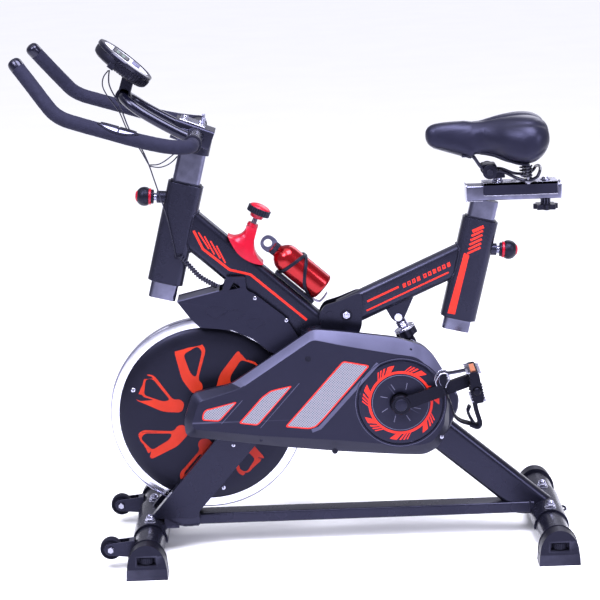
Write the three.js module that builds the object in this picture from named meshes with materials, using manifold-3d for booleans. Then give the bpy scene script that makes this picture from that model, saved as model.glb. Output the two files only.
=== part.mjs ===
// Indoor spin bike, built as separate named pieces.
// Millimetres, +Z up, +X to the rear of the bike, +Y to the rider's right, floor at Z = 0.
import * as THREE from 'three';
import { mergeVertices } from 'three/addons/utils/BufferGeometryUtils.js';
import Module from 'manifold-3d';

const wasm = await Module();
wasm.setup();

// ---------- driving dimensions ----------
const CENTRE_SHIFT = 4.4877;       // moves the layout so the origin is under the middle of the box
const GAP = 0.3;                 // clearance between touching pieces

const TUBE_HALF = 20;            // half thickness of the flat-oval frame tubes, across the bike
const DOWN_TUBE_DEPTH = 80;
const REAR_LEG_DEPTH = 73;
const HEAD_TUBE_SIZE = [78, 44];
const POST_SIZE = [60, 30];
const POST_CORNER = 9;
const POST_BORE = [61, 31];

const HEAD_BOTTOM = [-293.4, 0, 601.6];
const HEAD_TOP = [-238.2, 0, 817.4];
const SEAT_BOTTOM = [345.8, 0, 498.3];
const SEAT_TOP = [399.2, 0, 716.1];
const HEAD_POST_BELOW = 37;
const HEAD_POST_ABOVE = 84;
const SEAT_POST_BELOW = 28;
const SEAT_POST_ABOVE = 44;

const AXLE = [-214, 0, 302.7];
const FLYWHEEL_RADIUS = 216;
const FLYWHEEL_RIM_HALF = 13;
const FLYWHEEL_COVER_RADIUS = 195;
const AXLE_RADIUS = 8;
const CRANK_CENTRE = [210.7, 0, 334.5];
const CRANK_END = [367, 0, 386.5];
const LARGE_PULLEY_RADIUS = 86.4;
const SMALL_PULLEY_RADIUS = 24;
const BELT_NEAR = -84;
const BELT_FAR = -70;
const BELT_THICKNESS = 3.2;

const ARM_PIVOT = [100.3, 0, 518.3];
const DAMPER_TOP = [214.2, 0, 505.8];
const DAMPER_FOOT = [241.5, 0, 447.7];

const FRONT_STAB_X = -348.2;
const REAR_STAB_X = 536.3;
const STAB_Z = 39.5;
const STAB_RADIUS = 34;
const STAB_HALF_LENGTH = 245;
const CAP_INNER_Y = 207.5;
const CARRIAGE_BOLT_Y = 76.8;

const ROD_TOP = [-88, 0, 739.8];
const ROD_DIRECTION = [0.429, 0, 0.903];
const BOTTLE_FOOT = [50.7, 0, 574.9];
const BOTTLE_AXIS = [-0.743, 0, 0.669];
const CONSOLE_CENTRE = [-362, 0, 1082];
const CONSOLE_NORMAL = [0.643, 0, 0.766];
const CROSSBAR = [-213, 0, 925];

// ---------- materials ----------
function paint(color, roughness, metalness) {
  return new THREE.MeshStandardMaterial({ color, roughness, metalness });
}
const FRAME_PAINT = [0x1b1b24, 0.45, 0.3];
const BLACK_PLASTIC = [0x17171b, 0.6, 0];
const BLACK_FOAM = [0x101012, 0.95, 0];
const CHROME = [0xc9cad2, 0.15, 1];
const STEEL = [0x8f9097, 0.35, 1];
const RED_PLASTIC = [0xc01530, 0.35, 0];
const RED_METAL = [0xa80f20, 0.25, 0.8];
const BLACK_RUBBER = [0x131315, 0.85, 0];
const FELT = [0x7a6a55, 0.95, 0];

// ---------- small vector helpers ----------
function vec(p) {
  return new THREE.Vector3(p[0], p[1], p[2]);
}
function along(start, direction, distance) {
  return [0, 1, 2].map((i) => start[i] + direction[i] * distance);
}
function unit(from, to) {
  return vec(to).sub(vec(from)).normalize().toArray();
}
function atY(p, y) {
  return [p[0], y, p[2]];
}
const HEAD_AXIS = unit(HEAD_BOTTOM, HEAD_TOP);
const SEAT_AXIS = unit(SEAT_BOTTOM, SEAT_TOP);

// ---------- geometry to solid and back ----------
function solid(geometry) {
  const bare = geometry.index ? geometry.clone() : geometry;
  bare.deleteAttribute('normal');
  bare.deleteAttribute('uv');
  const merged = mergeVertices(bare, 1e-4);
  const mesh = new wasm.Mesh({
    numProp: 3,
    vertProperties: new Float32Array(merged.attributes.position.array),
    triVerts: new Uint32Array(merged.index.array),
  });
  return new wasm.Manifold(mesh);
}
function join(parts) {
  return parts.reduce((sum, part) => sum.add(part));
}
function cut(body, tools) {
  return tools.reduce((rest, tool) => rest.subtract(tool), body);
}
function geometryOf(body) {
  const mesh = body.getMesh();
  const geometry = new THREE.BufferGeometry();
  geometry.setAttribute('position', new THREE.BufferAttribute(new Float32Array(mesh.vertProperties), 3));
  geometry.setIndex(new THREE.BufferAttribute(new Uint32Array(mesh.triVerts), 1));
  geometry.translate(CENTRE_SHIFT, 0, 0);
  geometry.computeVertexNormals();
  return geometry;
}
function placed(geometry, origin, xAxis, yAxis, zAxis) {
  const matrix = new THREE.Matrix4().makeBasis(xAxis, yAxis, zAxis);
  matrix.setPosition(vec(origin));
  geometry.applyMatrix4(matrix);
  return geometry;
}

// ---------- primitive builders ----------
function roundRect(width, height, radius, steps = 3) {
  const shape = new THREE.Shape();
  const corners = [[1, 1, 0], [-1, 1, 90], [-1, -1, 180], [1, -1, 270]];
  const points = [];
  for (const [sx, sy, start] of corners) {
    for (let i = 0; i <= steps; i += 1) {
      const angle = THREE.MathUtils.degToRad(start + (90 * i) / steps);
      const x = sx * (width / 2 - radius) + radius * Math.cos(angle);
      const y = sy * (height / 2 - radius) + radius * Math.sin(angle);
      points.push(new THREE.Vector2(x, y));
    }
  }
  shape.setFromPoints(points);
  return shape;
}
// Straight bar of a given section from a to b; the section's first axis lies along `across`.
function bar(shape, a, b, across) {
  const length = vec(b).distanceTo(vec(a));
  const geometry = new THREE.ExtrudeGeometry(
    shape, { depth: length, bevelEnabled: false, curveSegments: 6 },
  );
  const zAxis = vec(b).sub(vec(a)).normalize();
  const xAxis = vec(across).addScaledVector(zAxis, -vec(across).dot(zAxis)).normalize();
  const yAxis = new THREE.Vector3().crossVectors(zAxis, xAxis);
  return solid(placed(geometry, a, xAxis, yAxis, zAxis));
}
function ovalTube(width, thickness, a, b, across, radius = 15) {
  return bar(roundRect(width, thickness, radius), a, b, across);
}
function cylinder(radius, a, b, sides = 16, endRadius = radius) {
  const length = vec(b).distanceTo(vec(a));
  const geometry = new THREE.CylinderGeometry(endRadius, radius, length, sides);
  geometry.rotateX(Math.PI / 2);
  geometry.translate(0, 0, length / 2);
  const zAxis = vec(b).sub(vec(a)).normalize();
  const helper = Math.abs(zAxis.y) > 0.9 ? new THREE.Vector3(1, 0, 0) : new THREE.Vector3(0, 1, 0);
  const xAxis = new THREE.Vector3().crossVectors(helper, zAxis).normalize();
  const yAxis = new THREE.Vector3().crossVectors(zAxis, xAxis);
  return solid(placed(geometry, a, xAxis, yAxis, zAxis));
}
function crossCylinder(radius, centre, y0, y1, sides = 16, endRadius = radius) {
  return cylinder(radius, atY(centre, y0), atY(centre, y1), sides, endRadius);
}
function ball(radius, centre, sides = 12) {
  const geometry = new THREE.SphereGeometry(radius, sides, Math.round(sides * 0.6));
  geometry.translate(centre[0], centre[1], centre[2]);
  return solid(geometry);
}
function box(x0, x1, y0, y1, z0, z1) {
  const geometry = new THREE.BoxGeometry(x1 - x0, y1 - y0, z1 - z0);
  geometry.translate((x0 + x1) / 2, (y0 + y1) / 2, (z0 + z1) / 2);
  return solid(geometry);
}
// Plate whose outline is given as [x, z] points, between two y values.
function plate(points, y0, y1) {
  const shape = new THREE.Shape(points.map(([x, z]) => new THREE.Vector2(x, z)));
  const geometry = new THREE.ExtrudeGeometry(shape, { depth: y1 - y0, bevelEnabled: false });
  geometry.applyMatrix4(new THREE.Matrix4().set(1, 0, 0, 0, 0, 0, -1, y1, 0, 1, 0, 0, 0, 0, 0, 1));
  return solid(geometry);
}
// Turned piece: profile of [radius, height] points, height measured from `origin` along `axis`.
function turned(profile, origin, axis, sides = 20) {
  const points = profile.map(([r, h]) => new THREE.Vector2(r, h));
  const geometry = new THREE.LatheGeometry(points, sides);
  geometry.rotateX(Math.PI / 2);
  const zAxis = vec(axis).normalize();
  const helper = Math.abs(zAxis.y) > 0.9 ? new THREE.Vector3(1, 0, 0) : new THREE.Vector3(0, 1, 0);
  const xAxis = new THREE.Vector3().crossVectors(helper, zAxis).normalize();
  const yAxis = new THREE.Vector3().crossVectors(zAxis, xAxis);
  return solid(placed(geometry, origin, xAxis, yAxis, zAxis));
}
// Polyline with rounded corners as one smooth path.
function roundedPath(points, radius) {
  const path = new THREE.CurvePath();
  let previous = vec(points[0]);
  for (let i = 1; i < points.length - 1; i += 1) {
    const corner = vec(points[i]);
    const before = corner.clone().add(vec(points[i - 1]).sub(corner).setLength(radius));
    const after = corner.clone().add(vec(points[i + 1]).sub(corner).setLength(radius));
    path.add(new THREE.LineCurve3(previous, before));
    path.add(new THREE.QuadraticBezierCurve3(before, corner, after));
    previous = after;
  }
  path.add(new THREE.LineCurve3(previous, vec(points[points.length - 1])));
  return path;
}
function circleShape(radius, sides) {
  const points = [];
  for (let i = 0; i < sides; i += 1) {
    const angle = (2 * Math.PI * i) / sides;
    points.push(new THREE.Vector2(radius * Math.cos(angle), radius * Math.sin(angle)));
  }
  return new THREE.Shape(points);
}
function sweep(curve, radius, sides, steps) {
  const options = { steps, extrudePath: curve, bevelEnabled: false };
  return solid(new THREE.ExtrudeGeometry(circleShape(radius, sides), options));
}
function smoothCurve(points) {
  return new THREE.CatmullRomCurve3(points.map(vec), false, 'centripetal');
}
// Skin over matching rings of points, closed by flat caps at both ends.
function skin(rings) {
  const count = rings[0].length;
  const positions = rings.flat(2);
  const index = [];
  for (let r = 0; r < rings.length - 1; r += 1) {
    for (let i = 0; i < count; i += 1) {
      const a = r * count + i;
      const b = r * count + ((i + 1) % count);
      index.push(a, b, b + count, a, b + count, a + count);
    }
  }
  const normal = skinNormalAxis(rings[0]);
  const ends = [[0, true], [rings.length - 1, false]];
  for (const [ring, flip] of ends) {
    const flat = rings[ring].map((p) => flatten(p, normal));
    for (const [a, b, c] of THREE.ShapeUtils.triangulateShape(flat, [])) {
      const face = [a, b, c].map((v) => v + ring * count);
      index.push(...(flip ? face.reverse() : face));
    }
  }
  const geometry = new THREE.BufferGeometry();
  geometry.setAttribute('position', new THREE.Float32BufferAttribute(positions, 3));
  geometry.setIndex(index);
  return solid(geometry);
}
function skinNormalAxis(ring) {
  const spans = [0, 1, 2].map((i) => {
    const values = ring.map((p) => p[i]);
    return Math.max(...values) - Math.min(...values);
  });
  return spans.indexOf(Math.min(...spans));
}
function flatten(p, axis) {
  const kept = [[p[1], p[2]], [p[2], p[0]], [p[0], p[1]]][axis];
  return new THREE.Vector2(kept[0], kept[1]);
}
// Moves every edge of a closed [x, z] outline inwards by a distance.
function inset(points, distance) {
  const area = points.reduce((sum, p, i) => {
    const q = points[(i + 1) % points.length];
    return sum + p[0] * q[1] - q[0] * p[1];
  }, 0);
  const side = area > 0 ? distance : -distance;
  return points.map((p, i) => {
    const before = points[(i + points.length - 1) % points.length];
    const after = points[(i + 1) % points.length];
    const u = edgeNormal(before, p);
    const v = edgeNormal(p, after);
    const scale = side / (1 + u[0] * v[0] + u[1] * v[1]);
    return [p[0] + (u[0] + v[0]) * scale, p[1] + (u[1] + v[1]) * scale];
  });
}
function edgeNormal(p, q) {
  const length = Math.hypot(q[0] - p[0], q[1] - p[1]);
  return [-(q[1] - p[1]) / length, (q[0] - p[0]) / length];
}
function ringAt(points, y) {
  return points.map(([x, z]) => [x, y, z]);
}

// ---------- assembly list ----------
const bike = new THREE.Group();
bike.name = 'indoor_spin_bike';
function addPiece(name, body, look) {
  const mesh = new THREE.Mesh(geometryOf(body), paint(look[0], look[1], look[2]));
  mesh.name = name;
  bike.add(mesh);
}
function mirrorY(body) {
  return body.mirror([0, 1, 0]);
}

// ---------- welded frame ----------
const DOWN_TUBE_START = [-222, 0, 708.5];
const DOWN_TUBE_END = [149, 0, 374.6];
const REAR_LEG_START = [152, 0, 367];
const REAR_LEG_END = [560, 0, 16.8];
const SIDE = [0, 1, 0];

function headTubeOuter(extra) {
  return ovalTube(HEAD_TUBE_SIZE[0] + extra, HEAD_TUBE_SIZE[1] + extra, HEAD_BOTTOM, HEAD_TOP, [1, 0, 0]);
}
function headTube() {
  const bore = ovalTube(
    POST_BORE[0],
    POST_BORE[1],
    along(HEAD_BOTTOM, HEAD_AXIS, -10),
    along(HEAD_TOP, HEAD_AXIS, 10),
    [1, 0, 0],
    POST_CORNER,
  );
  const pinBore = cylinder(PIN_RADIUS + GAP, PIN_FRONT_INNER, along(PIN_FRONT_INNER, PIN_FRONT_AXIS, 60));
  return cut(headTubeOuter(0), [bore, pinBore]);
}
function pivotPlates() {
  const outline = [
    [44, 478], [40, 520], [52, 540], [84, 549], [128, 566], [136, 560], [134, 492], [112, 440],
    [84, 440],
  ];
  const near = plate(outline, -25, -19.9);
  return [near, mirrorY(near)];
}
function downTube() {
  const body = ovalTube(2 * TUBE_HALF, DOWN_TUBE_DEPTH, DOWN_TUBE_START, DOWN_TUBE_END, SIDE);
  const bolt = crossCylinder(PIVOT_BOLT_RADIUS, ARM_PIVOT, -31, 31);
  const heads = [-31, 25].map((y) => crossCylinder(13, ARM_PIVOT, y, y + 6, 6));
  const rodBore = cylinder(7, along(ROD_TOP, ROD_DIRECTION, -260), ROD_TOP);
  const armSpace = box(40, 160, -19.95, 19.95, 482, 580);
  const plates = pivotPlates().map((p) => p.subtract(armSpace));
  return cut(join([body, ...plates, bolt, ...heads]), [headTubeOuter(2 * GAP), rodBore]);
}
function rearLeg() {
  const leg = ovalTube(2 * TUBE_HALF, REAR_LEG_DEPTH, REAR_LEG_START, REAR_LEG_END, SIDE);
  const shell = crossCylinder(SHELL_RADIUS, CRANK_CENTRE, -34, 34, 24);
  const bore = crossCylinder(CARTRIDGE_RADIUS + GAP, CRANK_CENTRE, -40, 40, 24);
  const lug = plate([[180, 352], [222, 446], [233, 459], [250, 459], [256, 440], [262, 320]], -6, 6);
  const lugHole = crossCylinder(DAMPER_PIN_RADIUS + GAP, DAMPER_FOOT, -10, 10);
  return cut(join([leg, shell, lug]), [bore, lugHole, ...railEnvelope(GAP)]);
}
// Space taken by the base rail and the cradles, grown by a clearance; legs are trimmed by it.
function railEnvelope(extra) {
  const top = RAIL_TOP + extra;
  const rail = box(-400, 600, -RAIL_HALF_WIDTH - extra, RAIL_HALF_WIDTH + extra, -20, top);
  const cradles = [FRONT_STAB_X, REAR_STAB_X].map((x) =>
    crossCylinder(CRADLE_RADIUS + extra, [x, 0, STAB_Z], -120, 120, 24),
  );
  const below = box(440, 700, -60, 60, -40, 49);
  return [rail, ...cradles, below];
}
const SHELL_RADIUS = 25;
const CARTRIDGE_RADIUS = 20;
const PIVOT_BOLT_RADIUS = 8;
const DAMPER_PIN_RADIUS = 5;
const RAIL_HALF_WIDTH = 24.4;
const RAIL_TOP = 74.6;
const RAIL_BOTTOM = 49.6;
const CRADLE_RADIUS = 38.6;
const LEG_FOOT_Z = 60;
const LEG_NEAR = -60;
const LEG_INNER = -35;

function cradle(x) {
  const centre = [x, 0, STAB_Z];
  const outer = crossCylinder(CRADLE_RADIUS, centre, -96, 96, 24);
  const inner = crossCylinder(STAB_RADIUS + GAP, centre, -100, 100, 24);
  const lower = box(x - 60, x + 60, -120, 120, -20, STAB_Z - 6);
  return cut(outer, [inner, lower]);
}
function carriageBolt(x, y) {
  const profile = [[0, 0], [5, 0], [5, 16], [10.5, 16], [10.5, 23], [8, 25], [7, 30], [0, 33]];
  return turned(profile, [x, y, 61], [0, 0, 1], 8);
}
function baseRail() {
  const rail = box(
    FRONT_STAB_X + 30, REAR_STAB_X - 30, -RAIL_HALF_WIDTH, RAIL_HALF_WIDTH, RAIL_BOTTOM, RAIL_TOP,
  );
  const footPlate = box(FRONT_STAB_X + 26, -236, LEG_NEAR, -LEG_NEAR, RAIL_BOTTOM, LEG_FOOT_Z);
  const cradles = [cradle(FRONT_STAB_X), cradle(REAR_STAB_X)];
  const tubeSpace = [FRONT_STAB_X, REAR_STAB_X].map((x) =>
    crossCylinder(STAB_RADIUS + GAP, [x, 0, STAB_Z], -100, 100, 24),
  );
  const bolts = [];
  for (const x of [FRONT_STAB_X, REAR_STAB_X]) {
    for (const y of [-CARRIAGE_BOLT_Y, CARRIAGE_BOLT_Y]) {
      bolts.push(carriageBolt(x, y));
    }
  }
  return join([cut(join([rail, footPlate]), tubeSpace), ...cradles, ...bolts]);
}
function frontLegLeft() {
  const outline = [[-357.2, 75], [-243, 75], [-240.5, 90], [74, 447], [42, 500], [14, 496]];
  const leg = plate(outline, LEG_NEAR, LEG_INNER);
  const dropout = plate(
    [[-232, 286], [-236, 300], [-228, 320], [-204, 322], [-120, 300], [-160, 240]], -52, -44,
  );
  const axleBore = crossCylinder(AXLE_RADIUS + 0.5, AXLE, -80, -20);
  const foot = plate(
    [[-318, LEG_FOOT_Z + GAP], [-240, LEG_FOOT_Z + GAP], [-240, 92], [-318, 92]], LEG_NEAR, LEG_INNER,
  );
  const weldStrip = plate([[0, 490], [38, 476], [38, 442], [6, 438]], LEG_INNER - 1, -TUBE_HALF - GAP);
  const space = crossCylinder(CRADLE_RADIUS + GAP, [FRONT_STAB_X, 0, STAB_Z], -120, 120, 24);
  const lowerFront = box(-400, -318, -80, 0, 0, 62);
  return cut(join([leg, dropout, foot, weldStrip]), [axleBore, space, lowerFront]);
}
function stabilizer(x) {
  const centre = [x, 0, STAB_Z];
  const end = STAB_HALF_LENGTH - 33;
  const tube = crossCylinder(STAB_RADIUS, centre, -end, end, 24);
  const bore = crossCylinder(STAB_RADIUS - 3, centre, -end - 5, end + 5, 24);
  const holes = [-CARRIAGE_BOLT_Y, CARRIAGE_BOLT_Y].map((y) => cylinder(5.4, [x, y, 55], [x, y, 90], 12));
  return cut(tube, [bore, ...holes]);
}
function wheelFork(x, y) {
  const plates = [-WHEEL_HALF_WIDTH - 3.4, WHEEL_HALF_WIDTH + 0.4].map((offset) =>
    plate(
      [[-440, 36], [-444, 47], [-440, 58], [-429, 61], [x - 28, 66], [x - 28, 28], [-429, 33]],
      y + offset, y + offset + 3,
    ),
  );
  const web = box(x - 46, x - 26, y - WHEEL_HALF_WIDTH - 3.4, y + WHEEL_HALF_WIDTH + 3.4, 28, 66);
  const tubeSpace = crossCylinder(STAB_RADIUS - 1, [x, 0, STAB_Z], y - 40, y + 40, 24);
  const pin = crossCylinder(4, WHEEL_CENTRE, y - 19, y + 19, 12);
  const heads = [y - 20, y + 15.4].map((start) => crossCylinder(7.5, WHEEL_CENTRE, start, start + 5, 6));
  return join([cut(join([...plates, web]), [tubeSpace]), pin, ...heads]);
}
const WHEEL_CENTRE = [-429.5, 0, 47];
const WHEEL_HALF_WIDTH = 11;
const WHEEL_Y = 157;
function transportWheel(y) {
  const w = WHEEL_HALF_WIDTH;
  const profile = [[4.4, -w], [9, -w], [10, -w + 2], [19, -w + 2], [20, -w], [24, -w]];
  const back = profile.map(([r, h]) => [r, -h]).reverse();
  return turned([...profile, ...back, [4.4, -w]], atY(WHEEL_CENTRE, y), [0, 1, 0], 16);
}
const CAP_ARCH = [
  [-44.2, 0], [-44.2, 4], [-42, 30], [-40, 44], [-34, 58], [-24, 70], [-12, 77], [0, 79],
  [12, 77], [24, 70], [34, 58], [40, 44], [42, 30], [44.2, 4], [44.2, 0],
];
const LEVELLER_Y = STAB_HALF_LENGTH - 15.8;
const LEVELLER_Z = 43;
function footCap(x) {
  const block = plate(CAP_ARCH.map(([dx, z]) => [x + dx, z]), -STAB_HALF_LENGTH, -CAP_INNER_Y);
  const tubeSpace = crossCylinder(STAB_RADIUS + GAP, [x, 0, STAB_Z], -STAB_HALF_LENGTH + 32.6, -190, 24);
  const pocket = cylinder(19, [x, -LEVELLER_Y, LEVELLER_Z - 9], [x, -LEVELLER_Y, LEVELLER_Z + 9], 24);
  const window = box(x - 20, x + 20, -STAB_HALF_LENGTH - 5, -LEVELLER_Y, LEVELLER_Z - 9, LEVELLER_Z + 9);
  const core = cylinder(4.5, [x, -LEVELLER_Y, LEVELLER_Z - 12], [x, -LEVELLER_Y, LEVELLER_Z + 12], 10);
  return cut(block, [tubeSpace, pocket, window, core]);
}
function leveller(x) {
  const teeth = 12;
  const points = [];
  for (let i = 0; i < teeth * 2; i += 1) {
    const angle = (Math.PI * i) / teeth;
    const radius = i % 2 ? 15.2 : 16.4;
    points.push(new THREE.Vector2(radius * Math.cos(angle), radius * Math.sin(angle)));
  }
  const wheel = bar(
    new THREE.Shape(points), [x, -LEVELLER_Y, LEVELLER_Z - 7], [x, -LEVELLER_Y, LEVELLER_Z + 7],
    [1, 0, 0],
  );
  const stem = cylinder(4, [x, -LEVELLER_Y, LEVELLER_Z - 11], [x, -LEVELLER_Y, LEVELLER_Z + 11], 10);
  return wheel.add(stem);
}

// ---------- flywheel and drive ----------
function flywheel() {
  const R = FLYWHEEL_RADIUS;
  const h = FLYWHEEL_RIM_HALF;
  const side = [[AXLE_RADIUS, -90], [AXLE_RADIUS, -30], [26, -30], [26, -8], [182, -8], [188, -h], [R, -h]];
  const back = [
    [R, h], [188, h], [182, 8], [26, 8], [26, 30], [AXLE_RADIUS, 30], [AXLE_RADIUS, 60], [0, 60],
  ];
  const wheel = turned([[0, -90], ...side, ...back], AXLE, [0, 1, 0], 44);
  const r = SMALL_PULLEY_RADIUS;
  const flange = r + 1.4;
  const pulley = [
    [0, BELT_NEAR - 1.4], [flange, BELT_NEAR - 1.4], [flange, BELT_NEAR - 0.6], [r, BELT_NEAR - 0.6],
  ];
  const rest = [[r, BELT_FAR + 0.6], [flange, BELT_FAR + 0.6], [flange, BELT_FAR + 2], [0, BELT_FAR + 2]];
  return wheel.add(turned([...pulley, ...rest], AXLE, [0, 1, 0], 20));
}
function flywheelCoverLeft() {
  const R = FLYWHEEL_COVER_RADIUS;
  const outside = [[27, -25.5], [150, -25.5], [178, -22.5], [R, -15.4], [R, -13.4]];
  const inside = [[188, -13.4], [150, -22.6], [27, -22.6], [27, -25.5]];
  return turned([...outside, ...inside], AXLE, [0, 1, 0], 36);
}
function driveBelt() {
  const inner = [AXLE, CRANK_CENTRE];
  const radii = [SMALL_PULLEY_RADIUS + GAP, LARGE_PULLEY_RADIUS + GAP];
  const loop = (extra) => hullOutline(inner, radii.map((r) => (r + extra) * 1.004));
  return plate(loop(BELT_THICKNESS), BELT_NEAR, BELT_FAR)
    .subtract(plate(loop(0), BELT_NEAR - 5, BELT_FAR + 5));
}
// Outline of an open belt round two circles.
function hullOutline(centres, radii) {
  const [a, b] = centres;
  const distance = Math.hypot(b[0] - a[0], b[2] - a[2]);
  const heading = Math.atan2(b[2] - a[2], b[0] - a[0]);
  const spread = Math.acos((radii[0] - radii[1]) / distance);
  const points = [];
  const arc = (centre, radius, from, to, steps) => {
    for (let i = 0; i <= steps; i += 1) {
      const angle = from + ((to - from) * i) / steps;
      points.push([centre[0] + radius * Math.cos(angle), centre[2] + radius * Math.sin(angle)]);
    }
  };
  arc(b, radii[1], heading - spread, heading + spread, 20);
  arc(a, radii[0], heading + spread, heading - spread + 2 * Math.PI, 10);
  return points;
}
function crankPulley() {
  const r = LARGE_PULLEY_RADIUS;
  const spindle = crossCylinder(8, CRANK_CENTRE, -119, 119);
  const profile = [[7, -84], [r - 8, BELT_NEAR - 0.5], [r, BELT_NEAR - 0.5], [r, BELT_FAR + 0.5]];
  const inside = [[r - 8, BELT_FAR + 0.5], [r - 12, -78], [24, -78], [24, -68], [7, -68], [7, -84]];
  const wheel = turned([...profile, ...inside], CRANK_CENTRE, [0, 1, 0], 32);
  const holes = [];
  for (let i = 0; i < 4; i += 1) {
    const angle = (2 * Math.PI * i) / 4;
    const x = CRANK_CENTRE[0] + 50 * Math.cos(angle);
    const z = CRANK_CENTRE[2] + 50 * Math.sin(angle);
    holes.push(crossCylinder(15, [x, 0, z], -90, -60, 8));
  }
  return cut(wheel, holes).add(spindle);
}
function bottomBracket() {
  const body = crossCylinder(CARTRIDGE_RADIUS, CRANK_CENTRE, -37, 37, 24);
  return body.subtract(crossCylinder(8.4, CRANK_CENTRE, -50, 50));
}
function crankOutline(steps) {
  const across = [-Math.sin(CRANK_ANGLE), Math.cos(CRANK_ANGLE)];
  const points = [];
  const ends = [[CRANK_CENTRE, 18, 90, 270], [CRANK_END, 13, 270, 450]];
  for (const [centre, radius, from, to] of ends) {
    for (let i = 0; i <= steps; i += 1) {
      const angle = THREE.MathUtils.degToRad(from + ((to - from) * i) / steps) + CRANK_ANGLE;
      points.push([centre[0] + radius * Math.cos(angle), centre[2] + radius * Math.sin(angle)]);
    }
  }
  return across[1] > 0 ? points : points.reverse();
}
const CRANK_ANGLE = Math.atan2(CRANK_END[2] - CRANK_CENTRE[2], CRANK_END[0] - CRANK_CENTRE[0]);
function crankLeft() {
  const arm = plate(crankOutline(6), -121, -108);
  const boss = crossCylinder(20, CRANK_CENTRE, -122, -102, 24);
  const bore = crossCylinder(8.4, CRANK_CENTRE, -121, -90);
  const spindle = crossCylinder(PEDAL_SPINDLE_RADIUS, CRANK_END, -222, -110, 14);
  const collar = crossCylinder(9, CRANK_END, -127, -120, 12);
  return cut(join([arm, boss]), [bore]).add(spindle).add(collar);
}
const PEDAL_SPINDLE_RADIUS = 6;
const PEDAL_INNER = -129;
const PEDAL_OUTER = -226;
function pedalLeft() {
  const [x, , z] = CRANK_END;
  const core = crossCylinder(13, CRANK_END, PEDAL_OUTER, PEDAL_INNER, 20);
  const outline = [
    [x - 12, z - 42], [x + 12, z - 42], [x + 13, z + 38], [x + 8, z + 46], [x - 8, z + 46],
    [x - 13, z + 38],
  ];
  const frame = plate(outline, PEDAL_OUTER, PEDAL_INNER);
  const openings = [-34, 16]
    .map((dz) => box(x - 30, x + 30, PEDAL_OUTER + 10, PEDAL_INNER - 10, z + dz, z + dz + 20));
  const bore = crossCylinder(PEDAL_SPINDLE_RADIUS + 0.4, CRANK_END, -223, -100, 14);
  return cut(join([cut(frame, openings), core]), [bore]);
}
// Toe cage and strap: a closed loop hanging from the front face of the pedal.
function toeCageLeft() {
  const [x, , z] = CRANK_END;
  const outer = [
    [x + 9, z - 42.4], [x + 7, z - 72], [x - 2, z - 86],
    [x - 20, z - 84], [x - 38, z - 68], [x - 50, z - 44],
    [x - 60, z - 6], [x - 72, z + 22], [x - 84, z + 48],
    [x - 74, z + 58], [x - 40, z + 52], [x - 13.4, z + 44],
  ];
  const inner = [
    [x + 5, z - 46], [x + 3, z - 70], [x - 5, z - 81], [x - 19, z - 79], [x - 34, z - 65], [x - 46, z - 42],
    [x - 56, z - 5], [x - 68, z + 24], [x - 78, z + 47],
    [x - 72, z + 53], [x - 40, z + 48], [x - 17, z + 40],
  ];
  const strip = plate([...outer, [x - 13.4, z - 42.4]], -192, -164);
  const hollow = plate([...inner, [x - 17, z - 46]], -200, -150);
  return strip.subtract(hollow);
}

// ---------- guards ----------
const GUARD_SEAM = [
  [-260.4, 270], [-263.1, 306.5], [-242, 366.7], [-157, 383.9], [23.6, 500.4], [84.2, 493.7], [203.1, 475.9],
  [241.9, 463.3], [261.3, 455.9], [282.6, 437.2], [302, 405],
  [318.6, 345], [316, 270], [293, 226], [262.2, 209.5],
  [202.9, 212.8], [76, 224], [-55.5, 239.6],
];
const GUARD_FACE = [
  [-243, 289.6], [-246.5, 305], [-229, 352.1], [-137.1, 379], [23.8, 483.5], [88, 468], [205, 444],
  [244.3, 437.5], [262, 425.7], [279, 402.7], [296, 372],
  [310, 335], [305, 280.4], [280, 243], [250.4, 234.9],
  [206.7, 236.5], [76.1, 252.7], [-98, 269.4],
];
const GUARD_FACE_Y = -98;
const GUARD_RIM_Y = -66;
const GUARD_WALL = 3;
function chainGuard() {
  const outer = skin([
    ringAt(GUARD_SEAM, GUARD_RIM_Y), ringAt(GUARD_SEAM, -79), ringAt(GUARD_FACE, GUARD_FACE_Y),
  ].reverse());
  const seamInner = inset(GUARD_SEAM, GUARD_WALL);
  const faceInner = inset(GUARD_FACE, GUARD_WALL);
  const rings = [
    ringAt(seamInner, GUARD_RIM_Y + 5), ringAt(seamInner, -78),
    ringAt(faceInner, GUARD_FACE_Y + GUARD_WALL),
  ];
  const spindleHole = crossCylinder(21, CRANK_CENTRE, -110, -90, 32);
  return cut(outer, [skin(rings.reverse()), spindleHole]);
}
const BACK_SHELL = [
  [96, 492], [203, 478], [263, 467.8], [280.2, 449.2], [303.5, 412.3], [316.1, 387], [341, 331.6],
  [338, 305], [331.8, 293.4], [318.2, 262], [292, 226], [262.2, 211], [210, 214], [120, 300],
];
function chainGuardBack() {
  const skinPlate = plate(inset(GUARD_SEAM, 0.5), GUARD_RIM_Y + GAP, -62.7);
  const shell = plate(BACK_SHELL, GUARD_RIM_Y + GAP, -26).subtract(plate(inset(BACK_SHELL, 3), -63, -20));
  const holes = [crossCylinder(14, AXLE, -80, -50, 24), crossCylinder(28, CRANK_CENTRE, -80, -50, 24)];
  const legSpace = plate(
    [[-100, 330], [0, 445], [60, 520], [150, 520], [150, 447], [90, 440], [20, 340]], -61.5, -20,
  );
  const damperSpace = box(180, 282, -34, 0, 430, 520);
  return cut(join([skinPlate, shell]), [...holes, legSpace, damperSpace]);
}
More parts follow.
